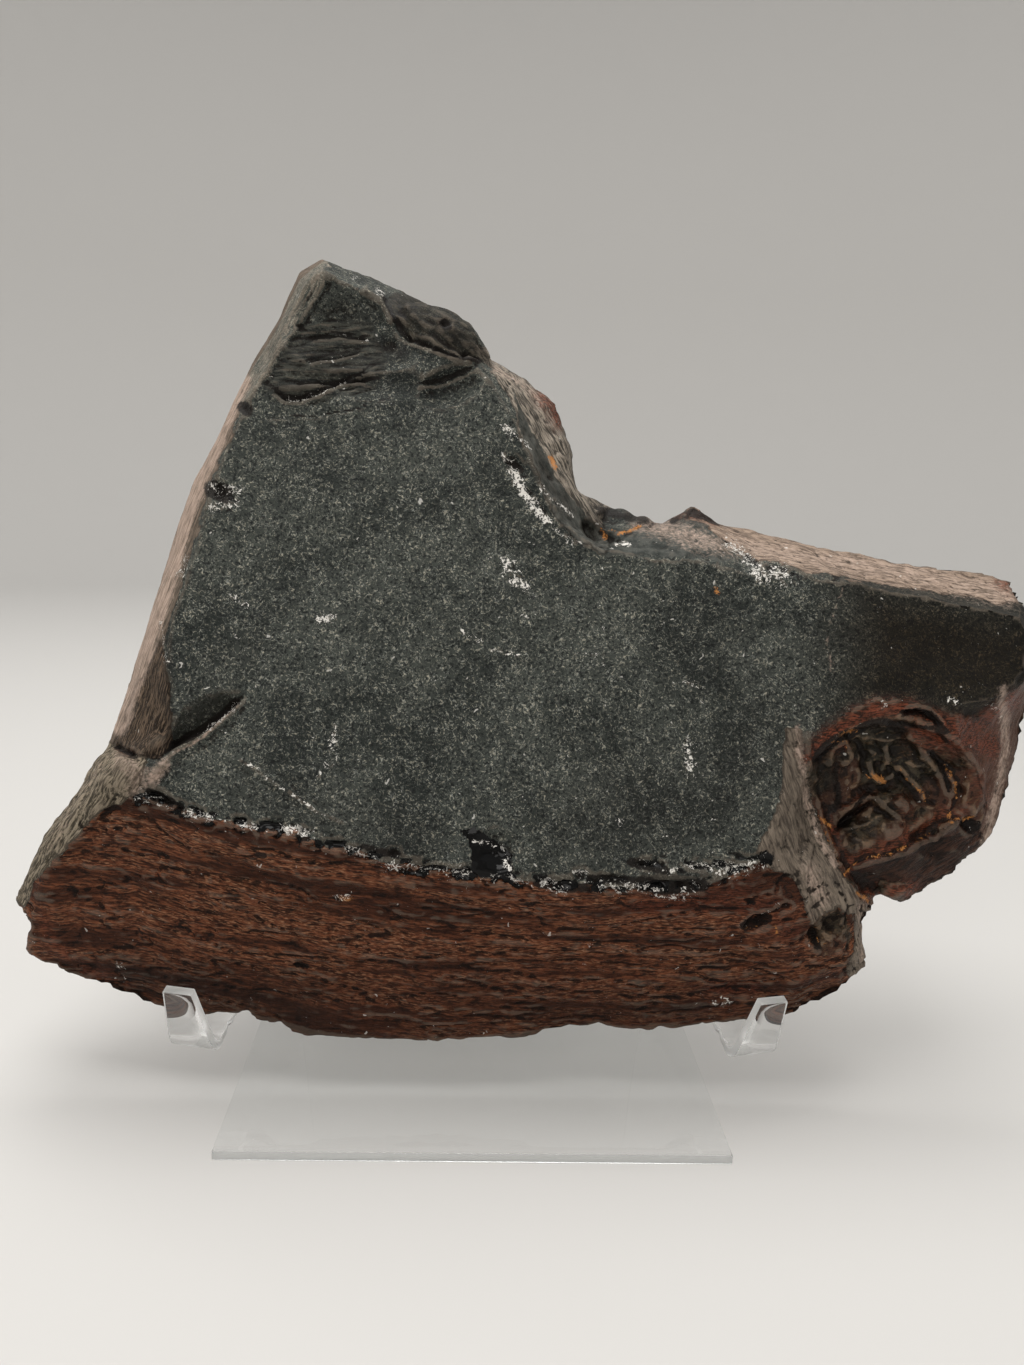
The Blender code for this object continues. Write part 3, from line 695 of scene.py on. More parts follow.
def fibrePlace(points, masks):    # place measured along the fibres of the region, in fibre sizes
    wavy = bent(points, *stoneRelief["fibreBend"], 301)
    place = wavy.copy()
    for key, (angle, size) in fibreRuns.items():
        chosen = masks[key] > 0.5
        place[chosen] = grainPlace(wavy[chosen], angle) / np.array(size)
    return place


# the stone's relief
stoneRelief = {
    # waves: where, measured in which place, size in mm, seed, layers, how much each layer keeps, height in mm
    "waves": [
        ("broken", "plain", 34, 1, 2, 0.5, 1.3), ("broken", "plain", 12, 5, 3, 0.5, 0.55),
        ("loose", "plain", 4.5, 7, 2, 0.5, 0.3),
        ("face", "plain", 16, 9, 3, 0.5, 0.25), ("face", "plain", 3.2, 12, 2, 0.5, 0.09),
        ("band", "bedding", (46, 9, 8), 41, 2, 0.5, 1.0), ("band", "bedding", (17, 5, 2.6), 43, 3, 0.6, 0.34),
        ("edges", "plain", 5, 51, 3, 0.5, 0.3),
        ("folds", "plain", 17, 64, 2, 0.5, 1.7), ("folds", "plain", 4, 63, 3, 0.5, 0.35),
        ("lump", "lumpGrain", (9, 5, 2.2), 91, 2, 0.5, 0.6), ("lump", "plain", 5, 92, 2, 0.5, 0.3),
        ("pit", "plain", 4, 93, 3, 0.5, 0.8), ("bevel", "plain", 5, 94, 3, 0.5, 0.35),
        ("crystal", "plain", 1.5, 71, 2, 0.5, 0.5),
        ("back", "plain", 48, 83, 2, 0.5, 1.6), ("back", "plain", 9, 81, 3, 0.5, 0.35),
    ],
    # cuts: where, place, size in mm, seed, width, depth in mm
    "cuts": [
        ("band", "bedding", (30, 6, 5.5), 47, 0.12, 0.6), ("edges", "plain", 11, 53, 0.12, 0.3),
        ("back", "plain", (58, 40, 44), 85, 0.3, 1.4),
    ],
    # folds of the hollow: size in mm, seed, sharpness, height in mm
    "folds": [((17, 14, 10), 61, 5, 0.65), ((9, 9, 12), 62, 6, 0.325)],
    "lumpGrain": -32,    # degrees
    "ledgeEvery": 7.5, "armStart": 840, "armLength": 180,    # points of the front view
    "armDrop": 2.2, "backDrop": 0.8, "crystalRise": 0.1, "chipDepth": 1.3, "standGap": 0.5,    # mm
    "edgeRounds": 2, "edgeGain": 6, "edgeOnBack": 0.3, "fibreBend": (5, 0.5), "beddingBend": (5, 0.35),
}


def ledgeHeight(points, seen):    # broken steps that run across the shelf near the top
    across, down = seen[:, 0], seen[:, 1]
    rise = down + 0.10 * (across - 320) + np.abs(across - 330) * 0.06 + layeredWaves(points, 14, 57, 2) * 5
    part = rise / stoneRelief["ledgeEvery"] % 1
    step = ease(part / 0.82) - (part > 0.9) * 0.3
    return (step - 0.6) * (0.55 + 0.35 * waves(points, 18, 58))


def breakUp(points, normals):
    seen, masks = stoneMasks(points, normals)
    rules = stoneRelief
    calm = np.maximum(masks["face"], masks["side"] * 0.75)
    rims = 1 - np.maximum(np.maximum(masks["brown"], masks["lobe"]), masks["wall"])
    where = dict(masks, broken=1 - 0.85 * calm, loose=1 - calm, folds=masks["hollow"] * np.clip(rims, 0.15, 1))
    where["edges"] = masks["end"] + masks["top"] * 0.6 + masks["slope"] * 0.5 + masks["fin"] * 0.5
    places = {
        "plain": points, "bedding": beddingPlace(points), "lumpGrain": grainPlace(points, rules["lumpGrain"]),
    }
    height = masks["shelf"] * ledgeHeight(points, seen)
    for key, place, size, seed, layers, keep, rise in rules["waves"]:
        height += where[key] * layeredWaves(places[place], size, seed, layers, keep) * rise
    for key, place, size, seed, width, depth in rules["cuts"]:
        height -= where[key] * (1 - ease(creases(places[place], size, seed) / width)) * depth
    for size, seed, sharp, rise in rules["folds"]:
        height += where["folds"] * np.clip(1 - creases(points, size, seed) * sharp, 0, 1) * rise
    height -= edgeChips(seen, masks["seam"]) * rules["chipDepth"]
    height += masks["crystal"] * rules["crystalRise"] - masks["back"] * rules["backDrop"]
    height -= masks["arm"] * np.clip((seen[:, 0] - rules["armStart"]) / rules["armLength"], 0, 1) * rules["armDrop"]
    height += carveMarks(seen) * masks["front"]
    moved = points + normals * height[:, None]
    above = np.maximum(0, moved[:, 2] - stoneShape["ridgeHeight"] - 4)
    limit = backDepthAt(moved[:, 2]) - rules["standGap"] + above * 0.09    # kept off the stand
    moved[:, 1] = np.minimum(moved[:, 1], limit)
    return moved, masks


def relief(mesh, points, normals, rounds):    # plus on edges and minus in hollows, in mm
    ends = np.zeros(len(mesh.edges) * 2, np.int32)
    mesh.edges.foreach_get("vertices", ends)
    first, second = ends.reshape(-1, 2).T
    count = np.bincount(first, minlength=len(points)) + np.bincount(second, minlength=len(points))
    blurred = points.copy()
    for _ in range(rounds):
        total = np.zeros_like(blurred)
        for axis in range(3):
            total[:, axis] = np.bincount(first, blurred[second, axis], len(points))
            total[:, axis] += np.bincount(second, blurred[first, axis], len(points))
        blurred = total / np.maximum(count, 1)[:, None]
    return ((points - blurred) * normals).sum(1)


def thinOut(stone, shown):    # fewer triangles, more of them kept where the front view sees them
    mesh = stone.data
    group = stone.vertex_groups.new(name="fine")
    steps, front = stoneShape["thinSteps"], stoneShape["thinFront"]
    for step in range(steps + 1):
        chosen = np.flatnonzero(np.round((1 - shown) * steps).astype(int) == step)
        weight = front + (stoneShape["thinBack"] - front) * step / steps
        group.add(chosen.tolist(), weight, "REPLACE")
    mesh.calc_loop_triangles()
    thin = stone.modifiers.new("thin", "DECIMATE")
    thin.ratio = stoneShape["triangles"] / len(mesh.loop_triangles)
    thin.vertex_group = group.name
    thin.vertex_group_factor = stoneShape["thinFactor"]
    mesh = applyModifiers(stone)
    stone.vertex_groups.clear()
    return mesh


def makeStone():
    stone = roughStone()
    mesh = stone.data
    points = readVectors(mesh, "co") / mm
    print("stone carved,", len(points), "points")
    points, masks = breakUp(points, readVectors(mesh, "normal"))
    writePoints(mesh, points)
    mesh = thinOut(stone, np.clip(masks["front"], 0, 1))
    points, normals = readVectors(mesh, "co") / mm, readVectors(mesh, "normal")
    seen, masks = stoneMasks(points, normals)
    masks["chip"] = edgeChips(seen, masks["seam"])
    for key in storedMasks:
        storeValues(mesh, key, masks[key])
    rules = stoneRelief
    edges = relief(mesh, points, normals, rules["edgeRounds"]) * rules["edgeGain"]
    edges *= 1 - masks["back"] * (1 - rules["edgeOnBack"])
    storeValues(mesh, "relief", np.clip(edges, -10, 10))
    storeValues(mesh, "bedding", bent(beddingPlace(points), *rules["beddingBend"], 311))
    storeValues(mesh, "fibres", fibrePlace(points, masks))
    mesh.shade_smooth()
    print("stone broken up,", len(mesh.polygons), "faces")
    return stone


# node helpers

def feed(tree, socket, content):
    if isinstance(content, bpy.types.NodeSocket):
        tree.links.new(content, socket)
    else:
        socket.default_value = content


def newNode(tree, kind, inputs=(), **settings):
    node = tree.nodes.new(kind)
    for key, value in settings.items():
        setattr(node, key, value)
    for socket, content in dict(inputs).items():
        feed(tree, node.inputs[socket], content)
    return node


def noise(tree, place, scale, detail=3, roughness=0.5, output="Fac"):
    inputs = {"Vector": place, "Scale": scale, "Detail": detail, "Roughness": roughness}
    return newNode(tree, "ShaderNodeTexNoise", inputs).outputs[output]


def calculate(tree, operation, first, second=0.0, clamp=False):
    inputs = {0: first, 1: second}
    return newNode(tree, "ShaderNodeMath", inputs, operation=operation, use_clamp=clamp).outputs[0]


def times(tree, first, second, clamp=False):
    return calculate(tree, "MULTIPLY", first, second, clamp)


def plus(tree, first, second):
    return calculate(tree, "ADD", first, second)


def larger(tree, first, second):
    return calculate(tree, "MAXIMUM", first, second)


def ramp(tree, value, low, high, start=0.0, end=1.0):    # soft step from start at low to end at high
    inputs = {"Value": value, "From Min": low, "From Max": high, "To Min": start, "To Max": end}
    return newNode(tree, "ShaderNodeMapRange", inputs, interpolation_type="SMOOTHSTEP").outputs["Result"]


def mixColor(tree, factor, first, second, blend="MIX"):
    inputs = {0: factor, 6: first, 7: second}
    return newNode(tree, "ShaderNodeMix", inputs, data_type="RGBA", blend_type=blend).outputs[2]


def mixValue(tree, factor, first, second):
    return newNode(tree, "ShaderNodeMix", {0: factor, 2: first, 3: second}, data_type="FLOAT").outputs[0]


def scaled(tree, place, scale):
    inputs = {0: place, "Scale": scale}
    return newNode(tree, "ShaderNodeVectorMath", inputs, operation="SCALE").outputs[0]


def placeInMm(tree):
    return scaled(tree, newNode(tree, "ShaderNodeTexCoord").outputs["Object"], 1 / mm)


def grained(tree, place, size, angle=0, shift=0.0):    # place along a grain at this angle, sizes in mm
    inputs = {
        "Vector": place, "Location": (shift, shift, shift), "Rotation": (0, -math.radians(angle), 0), "Scale": size,
    }
    return newNode(tree, "ShaderNodeMapping", inputs, vector_type="TEXTURE").outputs["Vector"]


def stored(tree, name, output="Fac"):
    node = newNode(tree, "ShaderNodeAttribute", attribute_name=name, attribute_type="GEOMETRY")
    return node.outputs[output]


def rgb(red, green, blue):
    return (red, green, blue, 1)


def newGroup(name, inputs, outputs):    # every input but the place is a number
    group = bpy.data.node_groups.new(name, "ShaderNodeTree")
    group.interface.new_socket(name="Place", in_out="INPUT", socket_type="NodeSocketVector")
    for socket, value in inputs.items():
        item = group.interface.new_socket(name=socket, in_out="INPUT", socket_type="NodeSocketFloat")
        item.default_value = value
    for socket in outputs:
        group.interface.new_socket(name=socket, in_out="OUTPUT", socket_type="NodeSocketFloat")
    return group, group.nodes.new("NodeGroupInput").outputs, group.nodes.new("NodeGroupOutput").inputs


def makeHairGroup():    # short fine strokes that lie in all directions
    group, given, out = newGroup("fineHairs", {"Length": 1.0, "Amount": 0.5}, ("Mask", "Height"))
    sized = scaled(group, given["Place"], calculate(group, "DIVIDE", 1.0, given["Length"]))
    best = None
    for number, angle in enumerate((8, 52, 97, 141)):
        strand = noise(group, grained(group, sized, (2.4, 0.9, 0.66), angle, 9.0 * number), 1.0, 1)
        best = strand if best is None else larger(group, best, strand)
    limit = ramp(group, given["Amount"], 0, 1, 0.80, 0.50)
    mask = times(group, calculate(group, "SUBTRACT", best, limit), 13.0, clamp=True)
    feed(group, out["Mask"], mask)
    feed(group, out["Height"], best)
    return group


def makeSpeckGroup():    # scattered small specks of uneven size
    group, given, out = newGroup("specks", {"Spacing": 4.0, "Amount": 0.3}, ("Mask",))
    sized = scaled(group, given["Place"], calculate(group, "DIVIDE", 1.0, given["Spacing"]))
    cells = newNode(group, "ShaderNodeTexVoronoi", {"Vector": sized, "Scale": 1.0}, feature="F1").outputs
    chance = newNode(group, "ShaderNodeSeparateColor", {"Color": cells["Color"]}).outputs
    edge = calculate(group, "SUBTRACT", cells["Distance"], times(group, chance["Green"], 0.16))
    picked = calculate(group, "LESS_THAN", chance["Red"], given["Amount"])
    feed(group, out["Mask"], times(group, ramp(group, edge, 0.04, -0.02), picked))
    return group


fineHairs = makeHairGroup()
specks = makeSpeckGroup()


def groupNode(tree, group, **inputs):
    return newNode(tree, "ShaderNodeGroup", inputs, node_tree=group).outputs


def addBump(tree, shader, height, strength, depth):    # depth in mm
    inputs = {"Height": height, "Strength": strength, "Distance": depth * mm}
    feed(tree, shader.inputs["Normal"], newNode(tree, "ShaderNodeBump", inputs).outputs["Normal"])


def newMaterial(name):
    material = bpy.data.materials.new(name)
    material.use_nodes = True
    tree = material.node_tree
    return material, tree, tree.nodes["Principled BSDF"]


# the stone: material

stoneColors = {
    "velvet": rgb(0.016, 0.0195, 0.0175), "velvetPale": rgb(0.058, 0.064, 0.056), "velvetGap": rgb(0.005, 0.006, 0.006),
    "hairGrey": rgb(0.25, 0.27, 0.25), "hairCream": rgb(0.42, 0.39, 0.31), "armPaintedShade": rgb(0.22, 0.165, 0.112),
    "bandRed": rgb(0.175, 0.058, 0.026), "bandDark": rgb(0.026, 0.0088, 0.0045), "bandTan": rgb(0.32, 0.155, 0.083),
    "slope": rgb(0.31, 0.265, 0.215), "slopeDark": rgb(0.045, 0.040, 0.033),
    "top": rgb(0.33, 0.245, 0.185), "topDark": rgb(0.085, 0.060, 0.046), "chamfer": rgb(0.075, 0.078, 0.070),
    "side": rgb(0.19, 0.145, 0.110), "sideDark": rgb(0.055, 0.043, 0.032), "pale": rgb(0.47, 0.355, 0.29),
    "end": rgb(0.29, 0.24, 0.175), "endDark": rgb(0.045, 0.036, 0.024),
    "fibrous": rgb(0.16, 0.112, 0.076), "fibrousDark": rgb(0.020, 0.0135, 0.009),
    "hollow": rgb(0.0075, 0.0065, 0.0035), "hollowPale": rgb(0.055, 0.045, 0.030), "fold": rgb(0.17, 0.10, 0.052),
    "lobe": rgb(0.060, 0.026, 0.016), "lobeDark": rgb(0.010, 0.005, 0.0035), "brown": rgb(0.19, 0.052, 0.026),
    "wall": rgb(0.105, 0.060, 0.042), "bevel": rgb(0.185, 0.160, 0.130), "shelf": rgb(0.066, 0.066, 0.054),
    "lump": rgb(0.055, 0.046, 0.032), "lumpDark": rgb(0.008, 0.0065, 0.0045),
    "fin": rgb(0.21, 0.170, 0.132), "finDark": rgb(0.060, 0.048, 0.038),
    "crystal": rgb(0.78, 0.75, 0.70), "rust": rgb(0.48, 0.20, 0.055),
    # the last colour darkens real cracks, and also paints shade in recesses, under ledges and low under the stone
    "glass": rgb(0.003, 0.003, 0.003), "dirt": rgb(0.006, 0.004, 0.003),
}

# the fibrous skins: colour in the gaps, colour of the fibres, and where in the noise one turns into the other
stoneSkins = {
    "side": ("sideDark", "side", 0.34, 0.66), "slope": ("slopeDark", "slope", 0.40, 0.60),
    "end": ("endDark", "end", 0.43, 0.59), "fibrous": ("fibrousDark", "fibrous", 0.44, 0.62),
    "fin": ("finDark", "fin", 0.34, 0.64), "top": ("topDark", "top", 0.36, 0.62),
    "pale": ("side", "pale", 0.34, 0.58), "wall": ("lobe", "wall", 0.38, 0.64),
    "bevel": ("velvetPale", "bevel", 0.40, 0.62), "shelf": ("velvetGap", "shelf", 0.42, 0.60),
    "lobe": ("lobeDark", "lobe", 0.40, 0.64), "lump": ("lumpDark", "lump", 0.42, 0.66),
}
# how much of each skin shows in its region, in the order in which they lie over each other
skinShares = {
    "slope": 1.0, "chamfer": 0.9, "side": 1.0, "end": 0.95, "fibrous": 1.0, "top": 1.0, "hollow": 1.0, "lobe": 0.95,
    "wall": 1.0, "fin": 1.0, "bevel": 1.0, "lump": 0.7, "pit": 0.9,
}
# how far each skin's fibres stand out
skinBumps = {
    "side": 0.6, "end": 1.1, "fibrous": 1.1, "top": 0.8, "slope": 0.7, "fin": 0.6, "hollow": 1.6, "lobe": 0.7,
    "wall": 0.6, "bevel": 0.5,
}
# grain of the stone: scale in 1/mm, or sizes in mm along the layers, then detail and roughness of the noise
stoneGrain = {
    "clouds": (0.045, 2, 0.6), "patches": (0.30, 3, 0.65), "grain": (1.3, 3, 0.65), "ragged": (0.9, 3, 0.7),
    "flow": (0.20, 3, 0.6), "bits": (0.95, 4, 0.74), "seamPatch": (0.13, 2, 0.5), "fibres": (1.0, 4, 0.65),
    "strands": ((3.6, 1.8, 0.55), 3, 0.62), "threads": ((1.7, 0.8, 0.34), 2, 0.6), "layers": ((48, 20, 4.6), 2, 0.6),
    "slits": ((9, 5, 1.5), 1, 0.5),
    "curl": 1.9, "shaking": 0.9, "raggedEdge": 1.1,    # strokes curl this far in mm, at this scale
    "hairs": {"Length": 0.64, "Amount": 0.55}, "longHairs": {"Length": 1.15, "Amount": 0.33},
    "dots": {"Spacing": 2.6, "Amount": 0.14},
}
# roughness of each ground, and how much of it shines
stoneGloss = {
    "plain": 0.68, "hollow": 0.48, "uneven": 0.08, "dark": 0.4, "chip": 0.12, "glass": 0.06, "specular": 0.14,
}


def makeStoneMaterial():
    material, tree, shader = newMaterial("velvetObsidian")
    colors = stoneColors
    place = placeInMm(tree)
    bedding = stored(tree, "bedding", "Vector")
    fibres = stored(tree, "fibres", "Vector")
    masks = {key: stored(tree, key) for key in [*storedMasks, "relief"]}
    rules = stoneGrain
    shaking = noise(tree, place, rules["shaking"], 0, 0.5, "Color")
    inputs = {0: shaking, 1: [rules["curl"]] * 3, 2: place}    # place moved a little, so that strokes curl
    curly = newNode(tree, "ShaderNodeVectorMath", inputs, operation="MULTIPLY_ADD").outputs[0]
    worn = calculate(tree, "SUBTRACT", noise(tree, place, *rules["ragged"]), 0.5)
    worn = times(tree, worn, rules["raggedEdge"])
    limits = {key: (0.36, 0.64) for key in regionEdges if key != "arm"}
    limits.update(dark=(0.34, 0.60), pale=(0.18, 0.75), chip=(0.35, 0.6))
    for key, (low, high) in limits.items():    # the regions get ragged edges
        masks[key] = ramp(tree, plus(tree, masks[key], worn), low, high)

    def layered(key, shift=0.0):    # noise laid along the band's layers
        size, detail, roughness = rules[key]
        return noise(tree, grained(tree, bedding, size, 0, shift), 1.0, detail, roughness)

    def over(color, factor, second, share=1.0, clamp=False):    # second laid over color
        if share != 1.0:
            factor = times(tree, factor, share, clamp)
        return mixColor(tree, factor, color, colors[second] if isinstance(second, str) else second)

    # velvet: dark slate with short pale hairs and small dots
    clouds, patches, grain = (noise(tree, place, *rules[key]) for key in ("clouds", "patches", "grain"))
    hairs = groupNode(tree, fineHairs, Place=curly, **rules["hairs"])
    longHairs = groupNode(tree, fineHairs, Place=curly, **rules["longHairs"])["Mask"]
    tone = mixValue(tree, 0.36, ramp(tree, clouds, 0.35, 0.65), ramp(tree, patches, 0.38, 0.62))
    hairColor = over(colors["hairGrey"], ramp(tree, grain, 0.44, 0.60), "hairCream")
    velvet = over(colors["velvet"], tone, "velvetPale")
    velvet = over(velvet, times(tree, hairs["Mask"], ramp(tree, patches, 0.34, 0.66, 0.16, 0.74)), hairColor)
    velvet = over(velvet, times(tree, longHairs, ramp(tree, clouds, 0.35, 0.6, 0.25, 0.85)), hairColor)
    velvet = over(velvet, ramp(tree, grain, 0.50, 0.38, 0.0, 0.85), "velvetGap")

    # band: layers of red brown fibres with dark cracks between them
    strands, threads, layers = layered("strands"), layered("threads"), layered("layers")
    slits = calculate(tree, "ABSOLUTE", calculate(tree, "SUBTRACT", layered("slits", 4.0), 0.5))
    slits = ramp(tree, slits, 0.035, 0.008)
    slits = times(tree, slits, ramp(tree, patches, 0.50, 0.60))
    band = over(colors["bandDark"], ramp(tree, strands, 0.36, 0.66), "bandRed")
    tan = times(tree, ramp(tree, threads, 0.50, 0.70), ramp(tree, layers, 0.42, 0.60, 0.1, 0.95))
    band = over(band, tan, "bandTan")
    band = over(band, ramp(tree, threads, 0.46, 0.34, 0.0, 0.75), "bandDark")
    band = over(band, ramp(tree, layers, 0.49, 0.38, 0.0, 0.74), "bandDark")
    band = over(band, slits, "dirt", 0.9)
    # the band darker towards the bottom: painted shade where it turns down under the stone
    level = newNode(tree, "ShaderNodeSeparateXYZ", {"Vector": place}).outputs["Z"]
    band = over(band, ramp(tree, level, 48.0, 22.0, 0.0, 0.42), "bandDark")

    # broken edges and the light strips beside the face, each with its own run of fibres
    run = noise(tree, fibres, *rules["fibres"])
    skins = {}
    for key, (gap, fibre, low, high) in stoneSkins.items():
        skins[key] = over(colors[gap], ramp(tree, run, low, high), fibre)
    skins["bevel"] = over(skins["bevel"], hairs["Mask"], "hairCream", 0.5)
    skins["chamfer"] = over(colors["velvet"], ramp(tree, patches, 0.3, 0.7), "chamfer")
    skins["brown"] = over(colors["bandDark"], ramp(tree, threads, 0.38, 0.62), "brown")

    # the hollow
    flow = noise(tree, curly, *rules["flow"])
    brokenRelief = plus(tree, masks["relief"], times(tree, worn, 2.2))
    hollow = over(colors["hollow"], ramp(tree, flow, 0.46, 0.66), "hollowPale")
    hollow = over(hollow, ramp(tree, clouds, 0.50, 0.60, 0.0, 0.8), "lobe")
    hollow = over(hollow, ramp(tree, run, 0.54, 0.70, 0.0, 0.45), "fold")
    crest = times(tree, ramp(tree, brokenRelief, 0.5, 1.1), ramp(tree, flow, 0.46, 0.60, 0.05, 0.65))
    skins["hollow"] = skins["pit"] = over(hollow, crest, "fold")

    color = over(velvet, masks["band"], band)
    color = over(color, masks["shelf"], skins["shelf"], 0.7)
    # the arm's right part multiplied darker and browner: painted shade where it turns away from the light
    color = mixColor(tree, masks["arm"], color, colors["armPaintedShade"], "MULTIPLY")
    for key, share in skinShares.items():
        color = over(color, masks[key], skins[key], share)
    # the notch painted with the hollow's dark colour: painted shade inside the cavity
    color = over(color, masks["notch"], "hollow", 0.55)
    patchy = ramp(tree, patches, 0.3, 0.6, 0.55, 1.0)
    for key in ("brown", "pale"):
        color = over(color, masks[key], skins[key], patchy, clamp=True)
    color = over(color, ramp(tree, masks["relief"], 0.3, 1.3, 0.0, 0.3), "fin")
    # darker where the relief dips: painted shade in recesses; then the painted shade strokes; then the dark strokes,
    # real cracks and painted shadow lines
    color = over(color, ramp(tree, brokenRelief, -0.3, -1.2, 0.0, 0.85), "dirt")
    color = over(color, masks["shade"], "dirt")
    color = over(color, masks["dark"], "dirt", 0.92)
    color = over(color, masks["chip"], "glass")
    color = over(color, masks["glass"], "glass")

    # rust, white crystals and dots
    bits = noise(tree, curly, *rules["bits"])
    rust = ramp(tree, plus(tree, bits, times(tree, masks["rust"], 0.5)), 0.80, 0.95)
    color = over(color, rust, "rust", 0.85)
    seamPatch = ramp(tree, noise(tree, place, *rules["seamPatch"]), 0.46, 0.62, 0.1, 0.66)
    whiteMarks = larger(tree, masks["crystal"], times(tree, masks["seam"], seamPatch))
    bright = ramp(tree, plus(tree, bits, times(tree, whiteMarks, 0.24)), 0.695, 0.735)
    dots = groupNode(tree, specks, Place=curly, **rules["dots"])["Mask"]
    color = over(color, larger(tree, times(tree, bright, 0.9), times(tree, dots, 0.5)), "crystal")
    feed(tree, shader.inputs["Base Color"], color)

    gloss = stoneGloss
    rough = mixValue(tree, masks["hollow"], gloss["plain"], gloss["hollow"])
    rough = plus(tree, rough, ramp(tree, grain, 0.3, 0.7, -gloss["uneven"], gloss["uneven"]))
    rough = mixValue(tree, times(tree, masks["dark"], 0.5, clamp=True), rough, gloss["dark"])
    for key in ("chip", "glass"):
        rough = mixValue(tree, masks[key], rough, gloss[key])
    feed(tree, shader.inputs["Roughness"], rough)

    height = plus(tree, times(tree, hairs["Height"], 0.35), times(tree, grain, 0.22))
    bandHeight = plus(tree, times(tree, strands, 1.1), times(tree, threads, 0.5))
    height = mixValue(tree, masks["band"], height, bandHeight)
    sources = {"hollow": flow, "bevel": grain}
    for key, depth in skinBumps.items():
        height = mixValue(tree, masks[key], height, times(tree, sources.get(key, run), depth))
    height = mixValue(tree, larger(tree, masks["glass"], masks["chip"]), height, 0.3)
    addBump(tree, shader, height, 1.0, 1.0)
    shader.inputs["Specular IOR Level"].default_value = gloss["specular"]
    return material


stone = makeStone()
stone.data.materials.append(makeStoneMaterial())
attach(stone, "root")
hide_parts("stone")
print("stone ready")


# the stand: one clear sheet, bent

standShape = {
    "sheet": 2.4, "baseWidth": 127.0, "baseDepth": 104.0,    # mm, the flare in degrees
    "hookInner": 66.5, "hookWidth": 12.0, "hookTipWidth": 7.4, "hookTip": 37.0, "hookLow": 16.8,
    "hookFront": 13.2, "hookBend": 20.8, "hookStart": 17.0, "hookLean": 2.6, "hookRadius": 8, "hookFlare": 12.0,
    "ridge": 98.0, "arch": 74.0, "gap": 0.5, "edge": 0.25, "bendRadius": 5, "bendSteps": 14, "longestRun": 3.0,
}
acrylic = {
    "IOR": 1.49, "through": rgb(0.965, 0.97, 0.97), "tint": rgb(0.88, 0.93, 0.93), "density": 6.0,
    "dust": 0.2, "scuffs": 0.05, "sawnEdge": 0.42, "polish": 0.02,    # what each adds to the roughness
    "dustSpacing": 3.5, "dustAmount": 0.05, "scuffLength": 6.0, "scuffAmount": 0.35,
    "waveScale": 0.08, "waveStrength": 0.1, "waveDepth": 0.5, "deepest": 2.5,
}


def roundedPath(corners, steps):
    points = []
    for index, (y, z, radius) in enumerate(corners):
        here = Vector((y, z))
        if radius == 0:
            points.append(here)
            continue
        before = (Vector(corners[index - 1][:2]) - here).normalized()
        after = (Vector(corners[index + 1][:2]) - here).normalized()
        half = before.angle(after) / 2
        start, end = here + before * radius / math.tan(half), here + after * radius / math.tan(half)
        centre = here + (before + after).normalized() * radius / math.sin(half)
        for step in range(steps + 1):
            points.append(centre + (start.lerp(end, step / steps) - centre).normalized() * radius)
    return points


def splitRuns(points, longest):
    line = [points[0]]
    for start, end in zip(points, points[1:]):
        count = max(1, math.ceil((end - start).length / longest))
        line += [start.lerp(end, step / count) for step in range(1, count + 1)]
    return line


